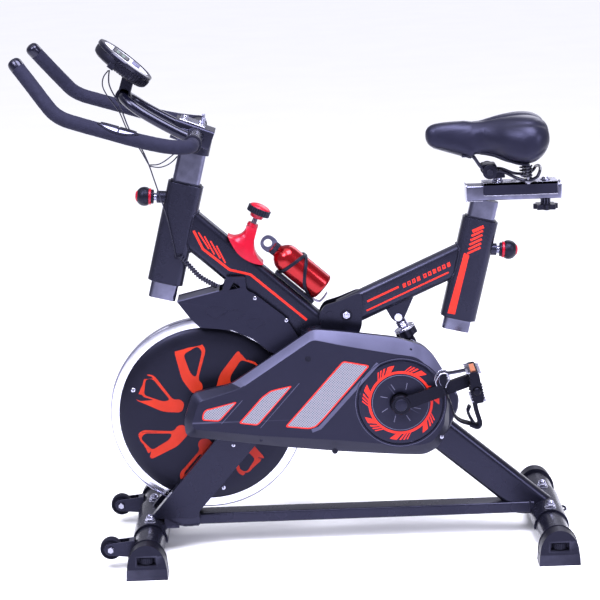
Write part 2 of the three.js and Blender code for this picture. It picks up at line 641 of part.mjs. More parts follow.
function flywheelGuard() {
  const side = [
    [-268.4, 562.1], [-235.4, 518.4], [-220.9, 502.1], [-196, 500], [-150, 494], [-108, 474], [-69.9, 442.5],
    [-46, 432], [-6, 472], [-34, 520], [-98.9, 574], [-116, 583], [-118, 613], [-160, 614], [-168, 584],
  ];
  const near = plate(side, -34.2, -31.2);
  const ridge = [[-268.4, 562.1], [-175.8, 583.2], [-172, 583.4], [-172, 579], [-176, 579], [-264, 558.5]];
  const nose = [[-268.4, 562.1], [-264, 562.5], [-236, 525.5], [-239, 523]];
  const top = plate(ridge, -34.2, 34.2);
  const front = plate(nose, -34.2, 34.2);
  const window = plate([[-152, 588], [-128, 588], [-140, 607]], -40, 24);
  return cut(join([near, mirrorY(near), top, front]), [window]);
}

// ---------- friction brake ----------
const ROD_RADIUS = 6;
function rodPoint(distance) {
  return along(ROD_TOP, ROD_DIRECTION, distance);
}
function brakeRod() {
  const shaft = cylinder(ROD_RADIUS, rodPoint(-224), rodPoint(-2), 12);
  const holder = bar(roundRect(52, 24, 3, 1), rodPoint(-231), rodPoint(-223), [0.903, 0, -0.429]);
  return shaft.add(holder);
}
function brakePad() {
  const block = bar(roundRect(52, 24, 3, 1), rodPoint(-257), rodPoint(-231.3), [0.903, 0, -0.429]);
  return block.subtract(crossCylinder(FLYWHEEL_RADIUS + 4, AXLE, -30, 30, 72));
}
function brakeKnob() {
  const profile = [
    [0, -4], [13, -4], [16, 2], [17, 6], [25.5, 7], [26, 12],
    [24, 19], [19, 20], [18.5, 24], [14, 28], [6, 30.5], [0, 31],
  ];
  const body = turned(profile, rodPoint(0), ROD_DIRECTION, 16);
  return body.subtract(cylinder(ROD_RADIUS + GAP, rodPoint(-20), rodPoint(-1.4), 14));
}
function brakeMount() {
  const outline = [
    [-156, 702], [-140, 697], [-124, 700], [-112, 711], [-109.5, 720], [-88, 711.5], [-84, 700], [-84, 680],
    [-80, 660], [-72, 634], [-120, 620],
  ];
  const hump = plate(outline, -15, 15);
  const skirt = plate(
    [[-158, 701], [-132, 684], [-94, 651], [-72, 632], [-84, 622], [-104, 626], [-146, 672]], -24.5,
    24.5,
  );
  const tubeSpace = ovalTube(
    2 * (TUBE_HALF + GAP), DOWN_TUBE_DEPTH + 2 * GAP, DOWN_TUBE_START, DOWN_TUBE_END, SIDE,
  );
  return cut(join([hump, skirt]), [tubeSpace, cylinder(7, rodPoint(-140), rodPoint(20), 16)]);
}

// ---------- handlebar ----------
const BAR_RADIUS = 12.5;
const FOAM_RADIUS = 15.3;
const BAR_POINTS = [
  [-573, -160, 1106], [-535.4, -180, 1057.5], [-500, -203, 1013], [-470, -211, 992.5], [-398.8, -215, 968.5],
  [-317.7, -215, 943], [-245, -212, 927], [-213, -190, 925],
];
const STEM_AXIS = [0.93, 0, -0.367];
function handlebarSide() {
  const path = new THREE.CatmullRomCurve3(BAR_POINTS.map(vec), false, 'centripetal');
  return sweep(path, BAR_RADIUS, 10, 14);
}
function stemBlock() {
  const front = along(CROSSBAR, STEM_AXIS, -50);
  const rear = along(CROSSBAR, STEM_AXIS, 38);
  const block = bar(roundRect(44, 76, 6, 2), front, rear, [0, 0, 1]);
  const socket = ovalTube(POST_BORE[0], POST_BORE[1], HEAD_BOTTOM, HEAD_POST_TOP, [1, 0, 0], POST_CORNER);
  const sleeve = ovalTube(
    72, 46, along(HEAD_TOP, HEAD_AXIS, 70), along(HEAD_TOP, HEAD_AXIS, 100), [1, 0, 0],
  );
  const top = bar(
    roundRect(5, 70, 2, 1), along([-216, 0, 951], STEM_AXIS, -30), along([-216, 0, 951], STEM_AXIS, 26),
    [0, 0, 1],
  );
  return cut(join([block, sleeve, top]), [socket]);
}
const HEAD_POST_TOP = along(HEAD_TOP, HEAD_AXIS, HEAD_POST_ABOVE + GAP);
function consoleStand() {
  const side = [[-246, -40, 934], [-285, -40, 960], [-330, -40, 987], [-364, -40, 1012], [-364, 0, 1012]];
  const legs = sweep(roundedPath(side, 16), 11, 10, 14);
  return [legs, mirrorY(legs)];
}
function handlebar() {
  const side = handlebarSide();
  const cross = crossCylinder(17, CROSSBAR, -190, 190, 16);
  const elbows = [ball(17, [-213, -190, 925]), ball(17, [-213, 190, 925])];
  return join([side, mirrorY(side), cross, ...elbows, stemBlock(), ...consoleStand()]);
}
function gripLeft() {
  const path = new THREE.CatmullRomCurve3(BAR_POINTS.map(vec), false, 'centripetal');
  const start = vec(BAR_POINTS[0]);
  const tangent = path.getTangentAt(0);
  const tip = start.clone().addScaledVector(tangent, -7).toArray();
  const length = path.getLength();
  const points = [tip];
  for (let i = 0; i <= 18; i += 1) {
    points.push(path.getPointAt((i / 18) * (1 - 52 / length)).toArray());
  }
  const foam = sweep(smoothCurve(points), FOAM_RADIUS, 10, 14);
  return foam.subtract(sweep(path, BAR_RADIUS + 2 * GAP, 10, 14));
}
function pulseSensorLeft() {
  const path = new THREE.CatmullRomCurve3(BAR_POINTS.map(vec), false, 'centripetal');
  const hug = sweep(path, FOAM_RADIUS + 0.9, 10, 14);
  const a = [-404, -215, 970.3];
  const b = [-326, -215, 945.9];
  const body = bar(roundRect(40, 40, 15), a, b, [0, 0, 1]);
  const inner = box(-420, -300, -208, -180, 900, 1010);
  const lower = plate([[-425, 900], [-310, 900], [-310, 936], [-425, 972]], -250, -190);
  return cut(body, [hug, inner, lower]);
}
function consoleBody() {
  const points = [];
  for (let i = 0; i < 22; i += 1) {
    const angle = (2 * Math.PI * i) / 22;
    points.push([69 * Math.cos(angle), 66 * Math.sin(angle)]);
  }
  const long = vec(SIDE).cross(vec(CONSOLE_NORMAL)).normalize();
  const ring = (scale, height) => points.map(([u, v]) => {
    const base = vec(CONSOLE_CENTRE).addScaledVector(vec(CONSOLE_NORMAL), height);
    return base.addScaledVector(long, u * scale).add(new THREE.Vector3(0, v * scale, 0)).toArray();
  });
  const puck = skin([ring(0.7, -17), ring(0.95, -6), ring(1, 4), ring(1, 10), ring(0.95, 14.5)]);
  const mount = bar(roundRect(34, 30, 4, 2), [-364, 0, 1012], [-346, 0, 1068], SIDE);
  const clamp = crossCylinder(17, [-364, 0, 1012], -13, 13, 20);
  const bore = crossCylinder(11.9, [-364, 0, 1012], -40, 40, 20);
  const button = consoleButton(GAP + 0.2);
  return cut(join([puck, mount, clamp]), [bore, button]);
}
function consoleButton(extra) {
  const long = vec(SIDE).cross(vec(CONSOLE_NORMAL)).normalize().toArray();
  const centre = along(CONSOLE_CENTRE, long, -24);
  const shape = roundRect(22 + 2 * extra, 30 + 2 * extra, 8 + extra, 3);
  return bar(shape, along(centre, CONSOLE_NORMAL, 8 - extra * 6), along(centre, CONSOLE_NORMAL, 19), long);
}

// ---------- pop pins ----------
const PIN_RADIUS = 7;
const PIN_TILT = 0.068;
const PIN_FRONT_AXIS = [-0.9977, 0, PIN_TILT];
const PIN_FRONT_INNER = [-281, 0, 788.8];
const PIN_REAR_AXIS = [0.9977, 0, -PIN_TILT];
const PIN_REAR_INNER = [417, 0, 648.3];
function popPin(start, axis, reach) {
  const profile = [
    [0, 0], [6.4, 0], [6.4, reach], [9, reach + 0.5], [9, reach + 7], [17, reach + 7.5], [17.5, reach + 13],
    [18, reach + 15], [21, reach + 22], [21, reach + 28],
    [17, reach + 38], [10, reach + 44], [0, reach + 47],
  ];
  return turned(profile, start, axis, 14);
}

// ---------- seat ----------
const SEAT_TUBE_SIZE = [78, 44];
function seatArm() {
  const tube = ovalTube(SEAT_TUBE_SIZE[0], SEAT_TUBE_SIZE[1], SEAT_BOTTOM, SEAT_TOP, [1, 0, 0]);
  const armEnd = [371, 0, 637.7];
  const armStart = [92, 0, 515.8];
  const arm = ovalTube(39, 65, armStart, armEnd, SIDE, 13);
  const bore = ovalTube(
    POST_BORE[0],
    POST_BORE[1],
    along(SEAT_BOTTOM, SEAT_AXIS, -10),
    along(SEAT_TOP, SEAT_AXIS, 10),
    [1, 0, 0],
    POST_CORNER,
  );
  const pinBore = cylinder(PIN_RADIUS + GAP, PIN_REAR_INNER, along(PIN_REAR_INNER, PIN_REAR_AXIS, 60));
  const pivotBore = crossCylinder(PIVOT_BOLT_RADIUS + 0.4, ARM_PIVOT, -30, 30);
  const ears = plate([[186, 528], [204, 500], [214, 494], [224, 498], [250, 552], [200, 545]], -12, 12);
  const eye = crossCylinder(9, DAMPER_TOP, -17, 17, 6);
  const collar = cylinder(11, DAMPER_TOP, damperPoint(10));
  return cut(join([tube, arm, ears, eye, collar]), [bore, pinBore, pivotBore]);
}
const DAMPER_AXIS = unit(DAMPER_TOP, DAMPER_FOOT);
function damperPoint(distance) {
  return along(DAMPER_TOP, DAMPER_AXIS, distance);
}
function damperBody() {
  const ring = cylinder(21, damperPoint(27.5), damperPoint(34), 20);
  const points = [];
  for (let i = 0; i < 40; i += 1) {
    const angle = (2 * Math.PI * i) / 40;
    const radius = 22.5 + 1.5 * Math.cos(10 * angle);
    points.push(new THREE.Vector2(radius * Math.cos(angle), radius * Math.sin(angle)));
  }
  const cup = bar(new THREE.Shape(points), damperPoint(33.5), damperPoint(50), SIDE);
  const ears = [-9.2, 9.2].map((y) =>
    bar(roundRect(22, 5.6, 1, 1), atY(damperPoint(45), y), atY(damperPoint(75), y), [1, 0, 0]),
  );
  const pin = crossCylinder(DAMPER_PIN_RADIUS, DAMPER_FOOT, -16, 16, 14);
  return cut(join([ring, cup, ...ears]), [rearLugSpace()]).add(pin);
}
function rearLugSpace() {
  return plate([[180, 352], [221, 447], [232, 460], [251, 460], [257, 440], [263, 320]], -6.4, 6.4);
}
const COIL_TURNS = 3;
const COIL_RADIUS = 8.5;
const COIL_START = 12.4;
const COIL_LENGTH = 12.6;
function damperSpring() {
  const points = [];
  const across = [DAMPER_AXIS[2], 0, -DAMPER_AXIS[0]];
  const steps = COIL_TURNS * 10;
  for (let i = 0; i <= steps; i += 1) {
    const angle = (2 * Math.PI * COIL_TURNS * i) / steps;
    const base = damperPoint(COIL_START + (COIL_LENGTH * i) / steps);
    const spot = along(base, across, COIL_RADIUS * Math.cos(angle));
    points.push([spot[0], COIL_RADIUS * Math.sin(angle), spot[2]]);
  }
  return sweep(smoothCurve(points), 1.9, 6, steps);
}
const RAIL_X = [369.5, 573];
const RAIL_Z = [759, 792];
const RAIL_HALF_Y = 22;
const CARRIAGE_X = [405, 567];
const CARRIAGE_LOW = 769;
const STUB_X = 438;
const KNOB_X = 542;
const RAIL_TRAVEL = 38;
function seatPost() {
  const post = ovalTube(
    POST_SIZE[0],
    POST_SIZE[1],
    along(SEAT_BOTTOM, SEAT_AXIS, -SEAT_POST_BELOW),
    along(SEAT_TOP, SEAT_AXIS, SEAT_POST_ABOVE),
    [1, 0, 0],
    POST_CORNER,
  );
  const middle = (RAIL_Z[0] + RAIL_Z[1]) / 2;
  const height = RAIL_Z[1] - RAIL_Z[0];
  const rail = bar(
    roundRect(2 * RAIL_HALF_Y, height, 4, 1), [RAIL_X[0], 0, middle], [RAIL_X[1], 0, middle], SIDE,
  );
  const hollow = bar(
    roundRect(38, height - 6, 2, 1), [RAIL_X[0] - 1, 0, middle], [RAIL_X[1] + 1, 0, middle], SIDE,
  );
  const slot = box(KNOB_X - RAIL_TRAVEL, KNOB_X + 12, -6.5, 6.5, 750, 800);
  const ends = [RAIL_X[0] - 2.5, RAIL_X[1]]
    .map((x) => box(x, x + 2.5, -23, 23, RAIL_Z[0] - 2, RAIL_Z[1] + 2.5));
  const aboveRail = box(300, 500, -18, 18, RAIL_Z[0], 830);
  return join([post.subtract(aboveRail), cut(rail, [hollow, slot]), ...ends]);
}
function sliderCarriage() {
  const [x0, x1] = CARRIAGE_X;
  const low = CARRIAGE_LOW;
  const shell = plate([[x0, low + 3], [x0 + 3, low], [x1, low], [x1, 797.5], [x0, 797.5]], -25.5, 25.5);
  const railSpace = box(x0 - 5, x1 + 5, -RAIL_HALF_Y - GAP, RAIL_HALF_Y + GAP, 700, RAIL_Z[1] + GAP);
  const stub = cylinder(10.5, [STUB_X, 0, 796], [STUB_X, 0, 822]);
  const flare = cylinder(13, [STUB_X, 0, 797], [STUB_X, 0, 801], 16, 10.5);
  const lower = box(STUB_X - 22, STUB_X + 14, -14, 14, 808, 820);
  const boltHole = cylinder(5.5, [KNOB_X, 0, 780], [KNOB_X, 0, 810], 12);
  return cut(join([shell.subtract(railSpace), stub, flare, lower]), [boltHole, saddleHubSpace()]);
}
const SADDLE_PIVOT = [419, 0, 822.9];
function saddleHubSpace() {
  return crossCylinder(12.4, SADDLE_PIVOT, -60, 60, 20);
}
function sliderKnob() {
  const points = [];
  for (let i = 0; i < 32; i += 1) {
    const angle = (2 * Math.PI * i) / 32;
    const radius = 24 + 3 * Math.cos(8 * angle);
    points.push(new THREE.Vector2(radius * Math.cos(angle), radius * Math.sin(angle)));
  }
  const disc = bar(new THREE.Shape(points), [KNOB_X, 0, 734], [KNOB_X, 0, 745], [1, 0, 0]);
  const neck = cylinder(10, [KNOB_X, 0, 744], [KNOB_X, 0, 758.6]);
  const screw = cylinder(4.8, [KNOB_X, 0, 757], [KNOB_X, 0, 799], 12);
  const head = cylinder(9, [KNOB_X, 0, 797.8], [KNOB_X, 0, 804], 6);
  return join([disc, neck, screw, head]);
}
function saddleRails() {
  const wire = [
    [368, -16, 862], [384, -19, 856], [402, -20, 832], [419, -20, 823], [446, -22, 822], [476, -34, 809],
    [494, -44, 805], [508, -45, 812],
  ];
  const near = sweep(smoothCurve(wire), 3.5, 6, 14);
  const post = cylinder(8, [500, -45, 806], [500, -45, 835.6], 10);
  const hub = crossCylinder(12, SADDLE_PIVOT, -28, 28, 20);
  const frontBlock = box(360, 378, -22, 22, 855, 860);
  const nut = [-33, 27].map((y) => crossCylinder(8, SADDLE_PIVOT, y, y + 6, 6));
  return join([near, mirrorY(near), post, mirrorY(post), hub, frontBlock, ...nut]);
}
// Stations along the saddle: x, half width, top, underside.
const SADDLE_STATIONS = [
  [284, 8, 912, 896], [292, 20, 921, 881], [312, 27, 927, 874], [345, 31, 928, 866], [380, 37, 927, 861],
  [411, 50, 930, 857], [444, 74, 939, 850], [476, 93, 945, 842], [505, 100, 944, 838], [530, 93, 935, 850],
  [545, 76, 920, 864], [552, 56, 903, 880],
];
function saddle() {
  const rings = SADDLE_STATIONS.map(([x, half, top, low]) => {
    const middle = low + (top - low) * 0.45;
    const ring = [];
    for (let i = 0; i < 16; i += 1) {
      const angle = (2 * Math.PI * i) / 16;
      const c = Math.cos(angle);
      const s = Math.sin(angle);
      const y = half * Math.sign(c) * Math.abs(c) ** 0.7;
      const z = s > 0 ? middle + (top - middle) * s ** 0.75 : middle - (middle - low) * Math.abs(s) ** 0.5;
      ring.push([x, y, z]);
    }
    return ring;
  });
  return skin(rings).subtract(box(355, 384, -26, 26, 840, 867)).subtract(box(486, 514, -58, 58, 820, 838));
}

// ---------- bottle ----------
function bottlePoint(distance) {
  return along(BOTTLE_FOOT, BOTTLE_AXIS, distance);
}
const BOTTLE_RADIUS = 31;
function bottle() {
  const R = BOTTLE_RADIUS;
  const profile = [
    [0, 0], [R - 5, 0], [R, 5], [R, 106], [R - 3, 114], [23, 124], [15, 129], [13, 131], [13, 144],
    [0, 144],
  ];
  return turned(profile, BOTTLE_FOOT, BOTTLE_AXIS, 20);
}
function bottleCap() {
  const body = turned([[0, 0], [17, 0], [17, 15], [14, 18], [0, 18]], bottlePoint(131.6), BOTTLE_AXIS, 20);
  const lid = bar(roundRect(26, 9, 4, 2), bottlePoint(148), bottlePoint(168), [0.669, 0, 0.743]);
  const hole = crossCylinder(5, bottlePoint(158), -20, 20, 12);
  return cut(join([body, lid]), [cylinder(13.4, bottlePoint(120), bottlePoint(144.4), 20), hole]);
}
function bottleCage() {
  const up = [0.669, 0, 0.743];
  const under = (distance, drop) => along(bottlePoint(distance), up, -drop);
  const back = bar(roundRect(18, 4, 1, 1), under(-4, 35.4), under(100, 35.4), SIDE);
  const bands = [18, 82].map((d) => {
    const ring = cylinder(34.5, bottlePoint(d), bottlePoint(d + 9), 20);
    const hollow = cylinder(BOTTLE_RADIUS + 0.6, bottlePoint(d - 5), bottlePoint(d + 15), 20);
    return ring.subtract(hollow);
  });
  const hook = bar(roundRect(14, 3, 1, 1), under(-2.4, 36), under(-2.4, -8), SIDE);
  return join([back, ...bands, hook]);
}

// ---------- leads ----------
function consoleLead() {
  const main = [
    [-386.5, -56, 1075], [-388.5, -56, 1062], [-389, -56, 1048], [-386, -56.5, 1036], [-379, -57, 1021],
    [-372, -56, 1009], [-364.7, -56, 988.3], [-351.8, -56, 949.2],
    [-338.2, -56, 922.9], [-326.4, -54, 903.1], [-313.2, -50, 868],
    [-304.1, -45, 835.1], [-293.9, -36, 797.3],
    [-281.5, -29, 750.8], [-273.4, -26.4, 706.5], [-266, -25.3, 660],
  ];
  const branch = [[-313.2, -50, 868], [-293.8, -50, 868.5], [-280.6, -48, 874], [-268, -44, 882]];
  return join([sweep(smoothCurve(main), 2.4, 6, 28), sweep(smoothCurve(branch), 1.8, 6, 8)]);
}
function sensorLead() {
  const path = [
    [-257.5, -29, 662.4], [-238.8, -30, 641.8], [-216.9, -30, 616.5], [-194.2, -26, 600], [-181, -20, 590.5],
  ];
  return sweep(smoothCurve(path), 6, 8, 12);
}

// ---------- pieces in their places ----------
addPiece('head_tube', headTube(), FRAME_PAINT);
addPiece('down_tube', downTube(), FRAME_PAINT);
addPiece('rear_leg', rearLeg(), FRAME_PAINT);
addPiece('base_rail', baseRail(), FRAME_PAINT);
addPiece('front_leg_left', frontLegLeft(), FRAME_PAINT);
addPiece('front_leg_right', mirrorY(frontLegLeft()), FRAME_PAINT);
const forks = [-WHEEL_Y, WHEEL_Y].map((y) => wheelFork(FRONT_STAB_X, y));
addPiece('front_stabilizer', join([stabilizer(FRONT_STAB_X), ...forks]), FRAME_PAINT);
addPiece('rear_stabilizer', stabilizer(REAR_STAB_X), FRAME_PAINT);
for (const [end, x] of [['front', FRONT_STAB_X], ['rear', REAR_STAB_X]]) {
  addPiece(`${end}_cap_left`, footCap(x), BLACK_PLASTIC);
  addPiece(`${end}_cap_right`, mirrorY(footCap(x)), BLACK_PLASTIC);
  addPiece(`${end}_leveller_left`, leveller(x), BLACK_PLASTIC);
  addPiece(`${end}_leveller_right`, mirrorY(leveller(x)), BLACK_PLASTIC);
}
addPiece('transport_wheel_left', transportWheel(-WHEEL_Y), BLACK_RUBBER);
addPiece('transport_wheel_right', transportWheel(WHEEL_Y), BLACK_RUBBER);

addPiece('flywheel', flywheel(), CHROME);
addPiece('flywheel_cover_left', flywheelCoverLeft(), BLACK_PLASTIC);
addPiece('flywheel_cover_right', mirrorY(flywheelCoverLeft()), BLACK_PLASTIC);
addPiece('drive_belt', driveBelt(), BLACK_RUBBER);
addPiece('crank_pulley', crankPulley(), STEEL);
addPiece('bottom_bracket', bottomBracket(), STEEL);
addPiece('crank_left', crankLeft(), FRAME_PAINT);
const turnedCrank = crankLeft().translate([-CRANK_CENTRE[0], 0, -CRANK_CENTRE[2]]).rotate([0, 180, 0]);
addPiece('crank_right', mirrorY(turnedCrank.translate([CRANK_CENTRE[0], 0, CRANK_CENTRE[2]])), FRAME_PAINT);
const pedalShift = [2 * (CRANK_CENTRE[0] - CRANK_END[0]), 0, 2 * (CRANK_CENTRE[2] - CRANK_END[2])];
addPiece('pedal_left', pedalLeft(), BLACK_PLASTIC);
addPiece('pedal_right', mirrorY(pedalLeft()).translate(pedalShift), BLACK_PLASTIC);
addPiece('toe_cage_left', toeCageLeft(), BLACK_PLASTIC);
addPiece('toe_cage_right', mirrorY(toeCageLeft()).translate(pedalShift), BLACK_PLASTIC);

addPiece('chain_guard', chainGuard(), BLACK_PLASTIC);
addPiece('chain_guard_back', chainGuardBack(), BLACK_PLASTIC);
addPiece('flywheel_guard', flywheelGuard(), BLACK_PLASTIC);

addPiece('brake_rod', brakeRod(), STEEL);
addPiece('brake_pad', brakePad(), FELT);
addPiece('brake_knob', brakeKnob(), RED_PLASTIC);
addPiece('brake_mount', brakeMount(), RED_PLASTIC);

const headPost = ovalTube(
  POST_SIZE[0],
  POST_SIZE[1],
  along(HEAD_BOTTOM, HEAD_AXIS, -HEAD_POST_BELOW),
  along(HEAD_TOP, HEAD_AXIS, HEAD_POST_ABOVE),
  [1, 0, 0],
  POST_CORNER,
);
addPiece('handlebar_post', headPost, CHROME);
addPiece('handlebar', handlebar(), FRAME_PAINT);
addPiece('grip_left', gripLeft(), BLACK_FOAM);
addPiece('grip_right', mirrorY(gripLeft()), BLACK_FOAM);
addPiece('pulse_sensor_left', pulseSensorLeft(), CHROME);
addPiece('pulse_sensor_right', mirrorY(pulseSensorLeft()), CHROME);
addPiece('console', consoleBody(), BLACK_PLASTIC);
addPiece('console_button', consoleButton(0), STEEL);
addPiece('handlebar_pin', popPin(PIN_FRONT_INNER, PIN_FRONT_AXIS, 22), RED_PLASTIC);

addPiece('seat_arm', seatArm(), FRAME_PAINT);
addPiece('damper_body', damperBody(), STEEL);
addPiece('damper_spring', damperSpring(), STEEL);
addPiece('seat_post', seatPost(), CHROME);
addPiece('seat_pin', popPin(PIN_REAR_INNER, PIN_REAR_AXIS, 16), RED_PLASTIC);
addPiece('slider_carriage', sliderCarriage(), STEEL);
addPiece('slider_knob', sliderKnob(), BLACK_PLASTIC);
addPiece('saddle_rails', saddleRails(), STEEL);
addPiece('saddle', saddle(), BLACK_FOAM);

addPiece('bottle', bottle(), RED_METAL);
addPiece('bottle_cap', bottleCap(), BLACK_PLASTIC);
addPiece('bottle_cage', bottleCage(), BLACK_PLASTIC);
addPiece('console_lead', consoleLead(), BLACK_RUBBER);
addPiece('sensor_lead', sensorLead(), BLACK_RUBBER);

export default bike;
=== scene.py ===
"""Looks for the indoor spin bike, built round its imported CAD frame.

Lengths in the piece builders are millimetres in the bike's layout frame: X to the rear, Y to the
rider's right, Z up. Piece.done() turns them into metres in the frame of the record.
"""
import math

import bmesh
import bpy
from mathutils import Matrix, Vector
from mathutils.geometry import tessellate_polygon


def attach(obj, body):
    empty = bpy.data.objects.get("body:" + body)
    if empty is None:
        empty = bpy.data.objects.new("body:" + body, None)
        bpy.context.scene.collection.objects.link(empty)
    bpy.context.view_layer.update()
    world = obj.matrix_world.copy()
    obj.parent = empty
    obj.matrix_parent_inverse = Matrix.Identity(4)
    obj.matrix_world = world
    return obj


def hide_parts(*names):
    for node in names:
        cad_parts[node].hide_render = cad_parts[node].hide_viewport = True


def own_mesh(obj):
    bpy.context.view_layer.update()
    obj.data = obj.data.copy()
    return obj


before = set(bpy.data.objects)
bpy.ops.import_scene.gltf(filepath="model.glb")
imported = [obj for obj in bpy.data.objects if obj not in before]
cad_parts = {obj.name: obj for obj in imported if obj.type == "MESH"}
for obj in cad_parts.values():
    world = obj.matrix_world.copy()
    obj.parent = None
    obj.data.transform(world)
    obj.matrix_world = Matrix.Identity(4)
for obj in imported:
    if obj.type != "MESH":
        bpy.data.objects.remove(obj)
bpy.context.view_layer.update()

MM = 0.001
SHIFT = 4.4877  # the layout's X offset to the record's origin
TAU = 2 * math.pi
SIDE = (0, 1, 0)
ALONG_X = (1, 0, 0)
UP = (0, 0, 1)


# ---------- small geometry helpers ----------
def vec(p):
    return Vector(p)


def along(p, direction, distance):
    return vec(p) + vec(direction) * distance


def unit(a, b):
    return (vec(b) - vec(a)).normalized()


def at_y(p, y):
    return Vector((p[0], y, p[2]))


def mirrored(points):
    return [Vector((p[0], -p[1], p[2])) for p in points]


def axes(a, b, across):
    """Unit axes of a bar from a to b whose section's first axis lies along across."""
    z = unit(a, b)
    x = (vec(across) - z * vec(across).dot(z)).normalized()
    return x, z.cross(x), z


def turn_axes(axis):
    z = vec(axis).normalized()
    helper = Vector(ALONG_X) if abs(z.y) > 0.9 else Vector(SIDE)
    x = helper.cross(z).normalized()
    return x, z.cross(x), z


def round_rect(width, height, radius, steps=6):
    points = []
    for sx, sy, start in ((1, 1, 0), (-1, 1, 90), (-1, -1, 180), (1, -1, 270)):
        for i in range(steps + 1):
            t = math.radians(start + 90 * i / steps)
            x = sx * (width / 2 - radius) + radius * math.cos(t)
            y = sy * (height / 2 - radius) + radius * math.sin(t)
            points.append((x, y))
    return points


def circle(radius, sides):
    return [(radius * math.cos(TAU * i / sides), radius * math.sin(TAU * i / sides)) for i in range(sides)]


def circle_at(centre, radius, sides):
    """Circle in the bike's side view, round a place given as (x, y, z)."""
    return [(centre[0] + x, centre[2] + z) for x, z in circle(radius, sides)]


def ring_at(points, y):
    """Side-view outline placed at a y."""
    return [Vector((q[0], y, q[1])) for q in points]


def box(x0, z0, x1, z1):
    return [(x0, z0), (x1, z0), (x1, z1), (x0, z1)]


def wavy(radius, depth, waves, sides):
    """A knob's outline: a circle with soft lobes."""
    out = []
    for i in range(sides):
        t = TAU * i / sides
        r = radius + depth * math.cos(waves * t)
        out.append((r * math.cos(t), r * math.sin(t)))
    return out


def toothed(radius, depth, teeth):
    out = []
    for i in range(teeth * 4):
        t = TAU * i / (teeth * 4)
        r = radius if i % 4 < 2 else radius - depth
        out.append((r * math.cos(t), r * math.sin(t)))
    return out


def rounded(points, radius, steps=4):
    """Closed outline with its corners rounded by a quadratic curve."""
    out = []
    for i, p in enumerate(points):
        p = vec(p)
        before, after = vec(points[i - 1]), vec(points[(i + 1) % len(points)])
        r1 = min(radius, (before - p).length * 0.45)
        r2 = min(radius, (after - p).length * 0.45)
        a = p + (before - p).normalized() * r1
        b = p + (after - p).normalized() * r2
        for k in range(steps + 1):
            t = k / steps
            out.append(a * (1 - t) ** 2 + p * 2 * t * (1 - t) + b * t * t)
    return out


def smooth(points, steps):
    """Centripetal Catmull-Rom curve through points."""
    pts = [vec(p) for p in points]
    pts = [pts[0] * 2 - pts[1]] + pts + [pts[-1] * 2 - pts[-2]]
    out = []
    for i in range(1, len(pts) - 2):
        p0, p1, p2, p3 = pts[i - 1 : i + 3]
        t0, t1 = 0.0, math.sqrt((p1 - p0).length)
        t2 = t1 + math.sqrt((p2 - p1).length)
        t3 = t2 + math.sqrt((p3 - p2).length)
        for k in range(steps):
            t = t1 + (t2 - t1) * k / steps
            a1 = p0 * ((t1 - t) / (t1 - t0)) + p1 * ((t - t0) / (t1 - t0))
            a2 = p1 * ((t2 - t) / (t2 - t1)) + p2 * ((t - t1) / (t2 - t1))
            a3 = p2 * ((t3 - t) / (t3 - t2)) + p3 * ((t - t2) / (t3 - t2))
            b1 = a1 * ((t2 - t) / (t2 - t0)) + a2 * ((t - t0) / (t2 - t0))
            b2 = a2 * ((t3 - t) / (t3 - t1)) + a3 * ((t - t1) / (t3 - t1))
            out.append(b1 * ((t2 - t) / (t2 - t1)) + b2 * ((t - t1) / (t2 - t1)))
    out.append(pts[-2])
    return out


def inset(points, distance):
    """Closed [x, z] outline with every edge moved inwards."""
    n = len(points)
    area = sum(
        points[i][0] * points[(i + 1) % n][1] - points[(i + 1) % n][0] * points[i][1]
        for i in range(n)
    )
    side = distance if area > 0 else -distance
    out = []
    for i in range(n):
        p, a, b = Vector(points[i]), Vector(points[i - 1]), Vector(points[(i + 1) % n])
        u, v = (p - a).normalized(), (b - p).normalized()
        nu, nv = Vector((-u.y, u.x)), Vector((-v.y, v.x))
        scale = side / max(0.3, 1 + nu.dot(nv))
        out.append(tuple(p + (nu + nv) * scale))
    return out


def turned2(points, degrees, centre=(0, 0)):
    c, s = math.cos(math.radians(degrees)), math.sin(math.radians(degrees))
    out = []
    for x, z in points:
        dx, dz = x - centre[0], z - centre[1]
        out.append((centre[0] + dx * c - dz * s, centre[1] + dx * s + dz * c))
    return out


def band(points, width):
    """Strip of the given width along an open [x, z] line."""
    left, right = [], []
    n = len(points)
    for i in range(n):
        a, b = Vector(points[max(0, i - 1)]), Vector(points[min(n - 1, i + 1)])
        d = (b - a).normalized()
        side = Vector((-d.y, d.x)) * width / 2
        left.append(tuple(Vector(points[i]) + side))
        right.append(tuple(Vector(points[i]) - side))
    return left + right[::-1]


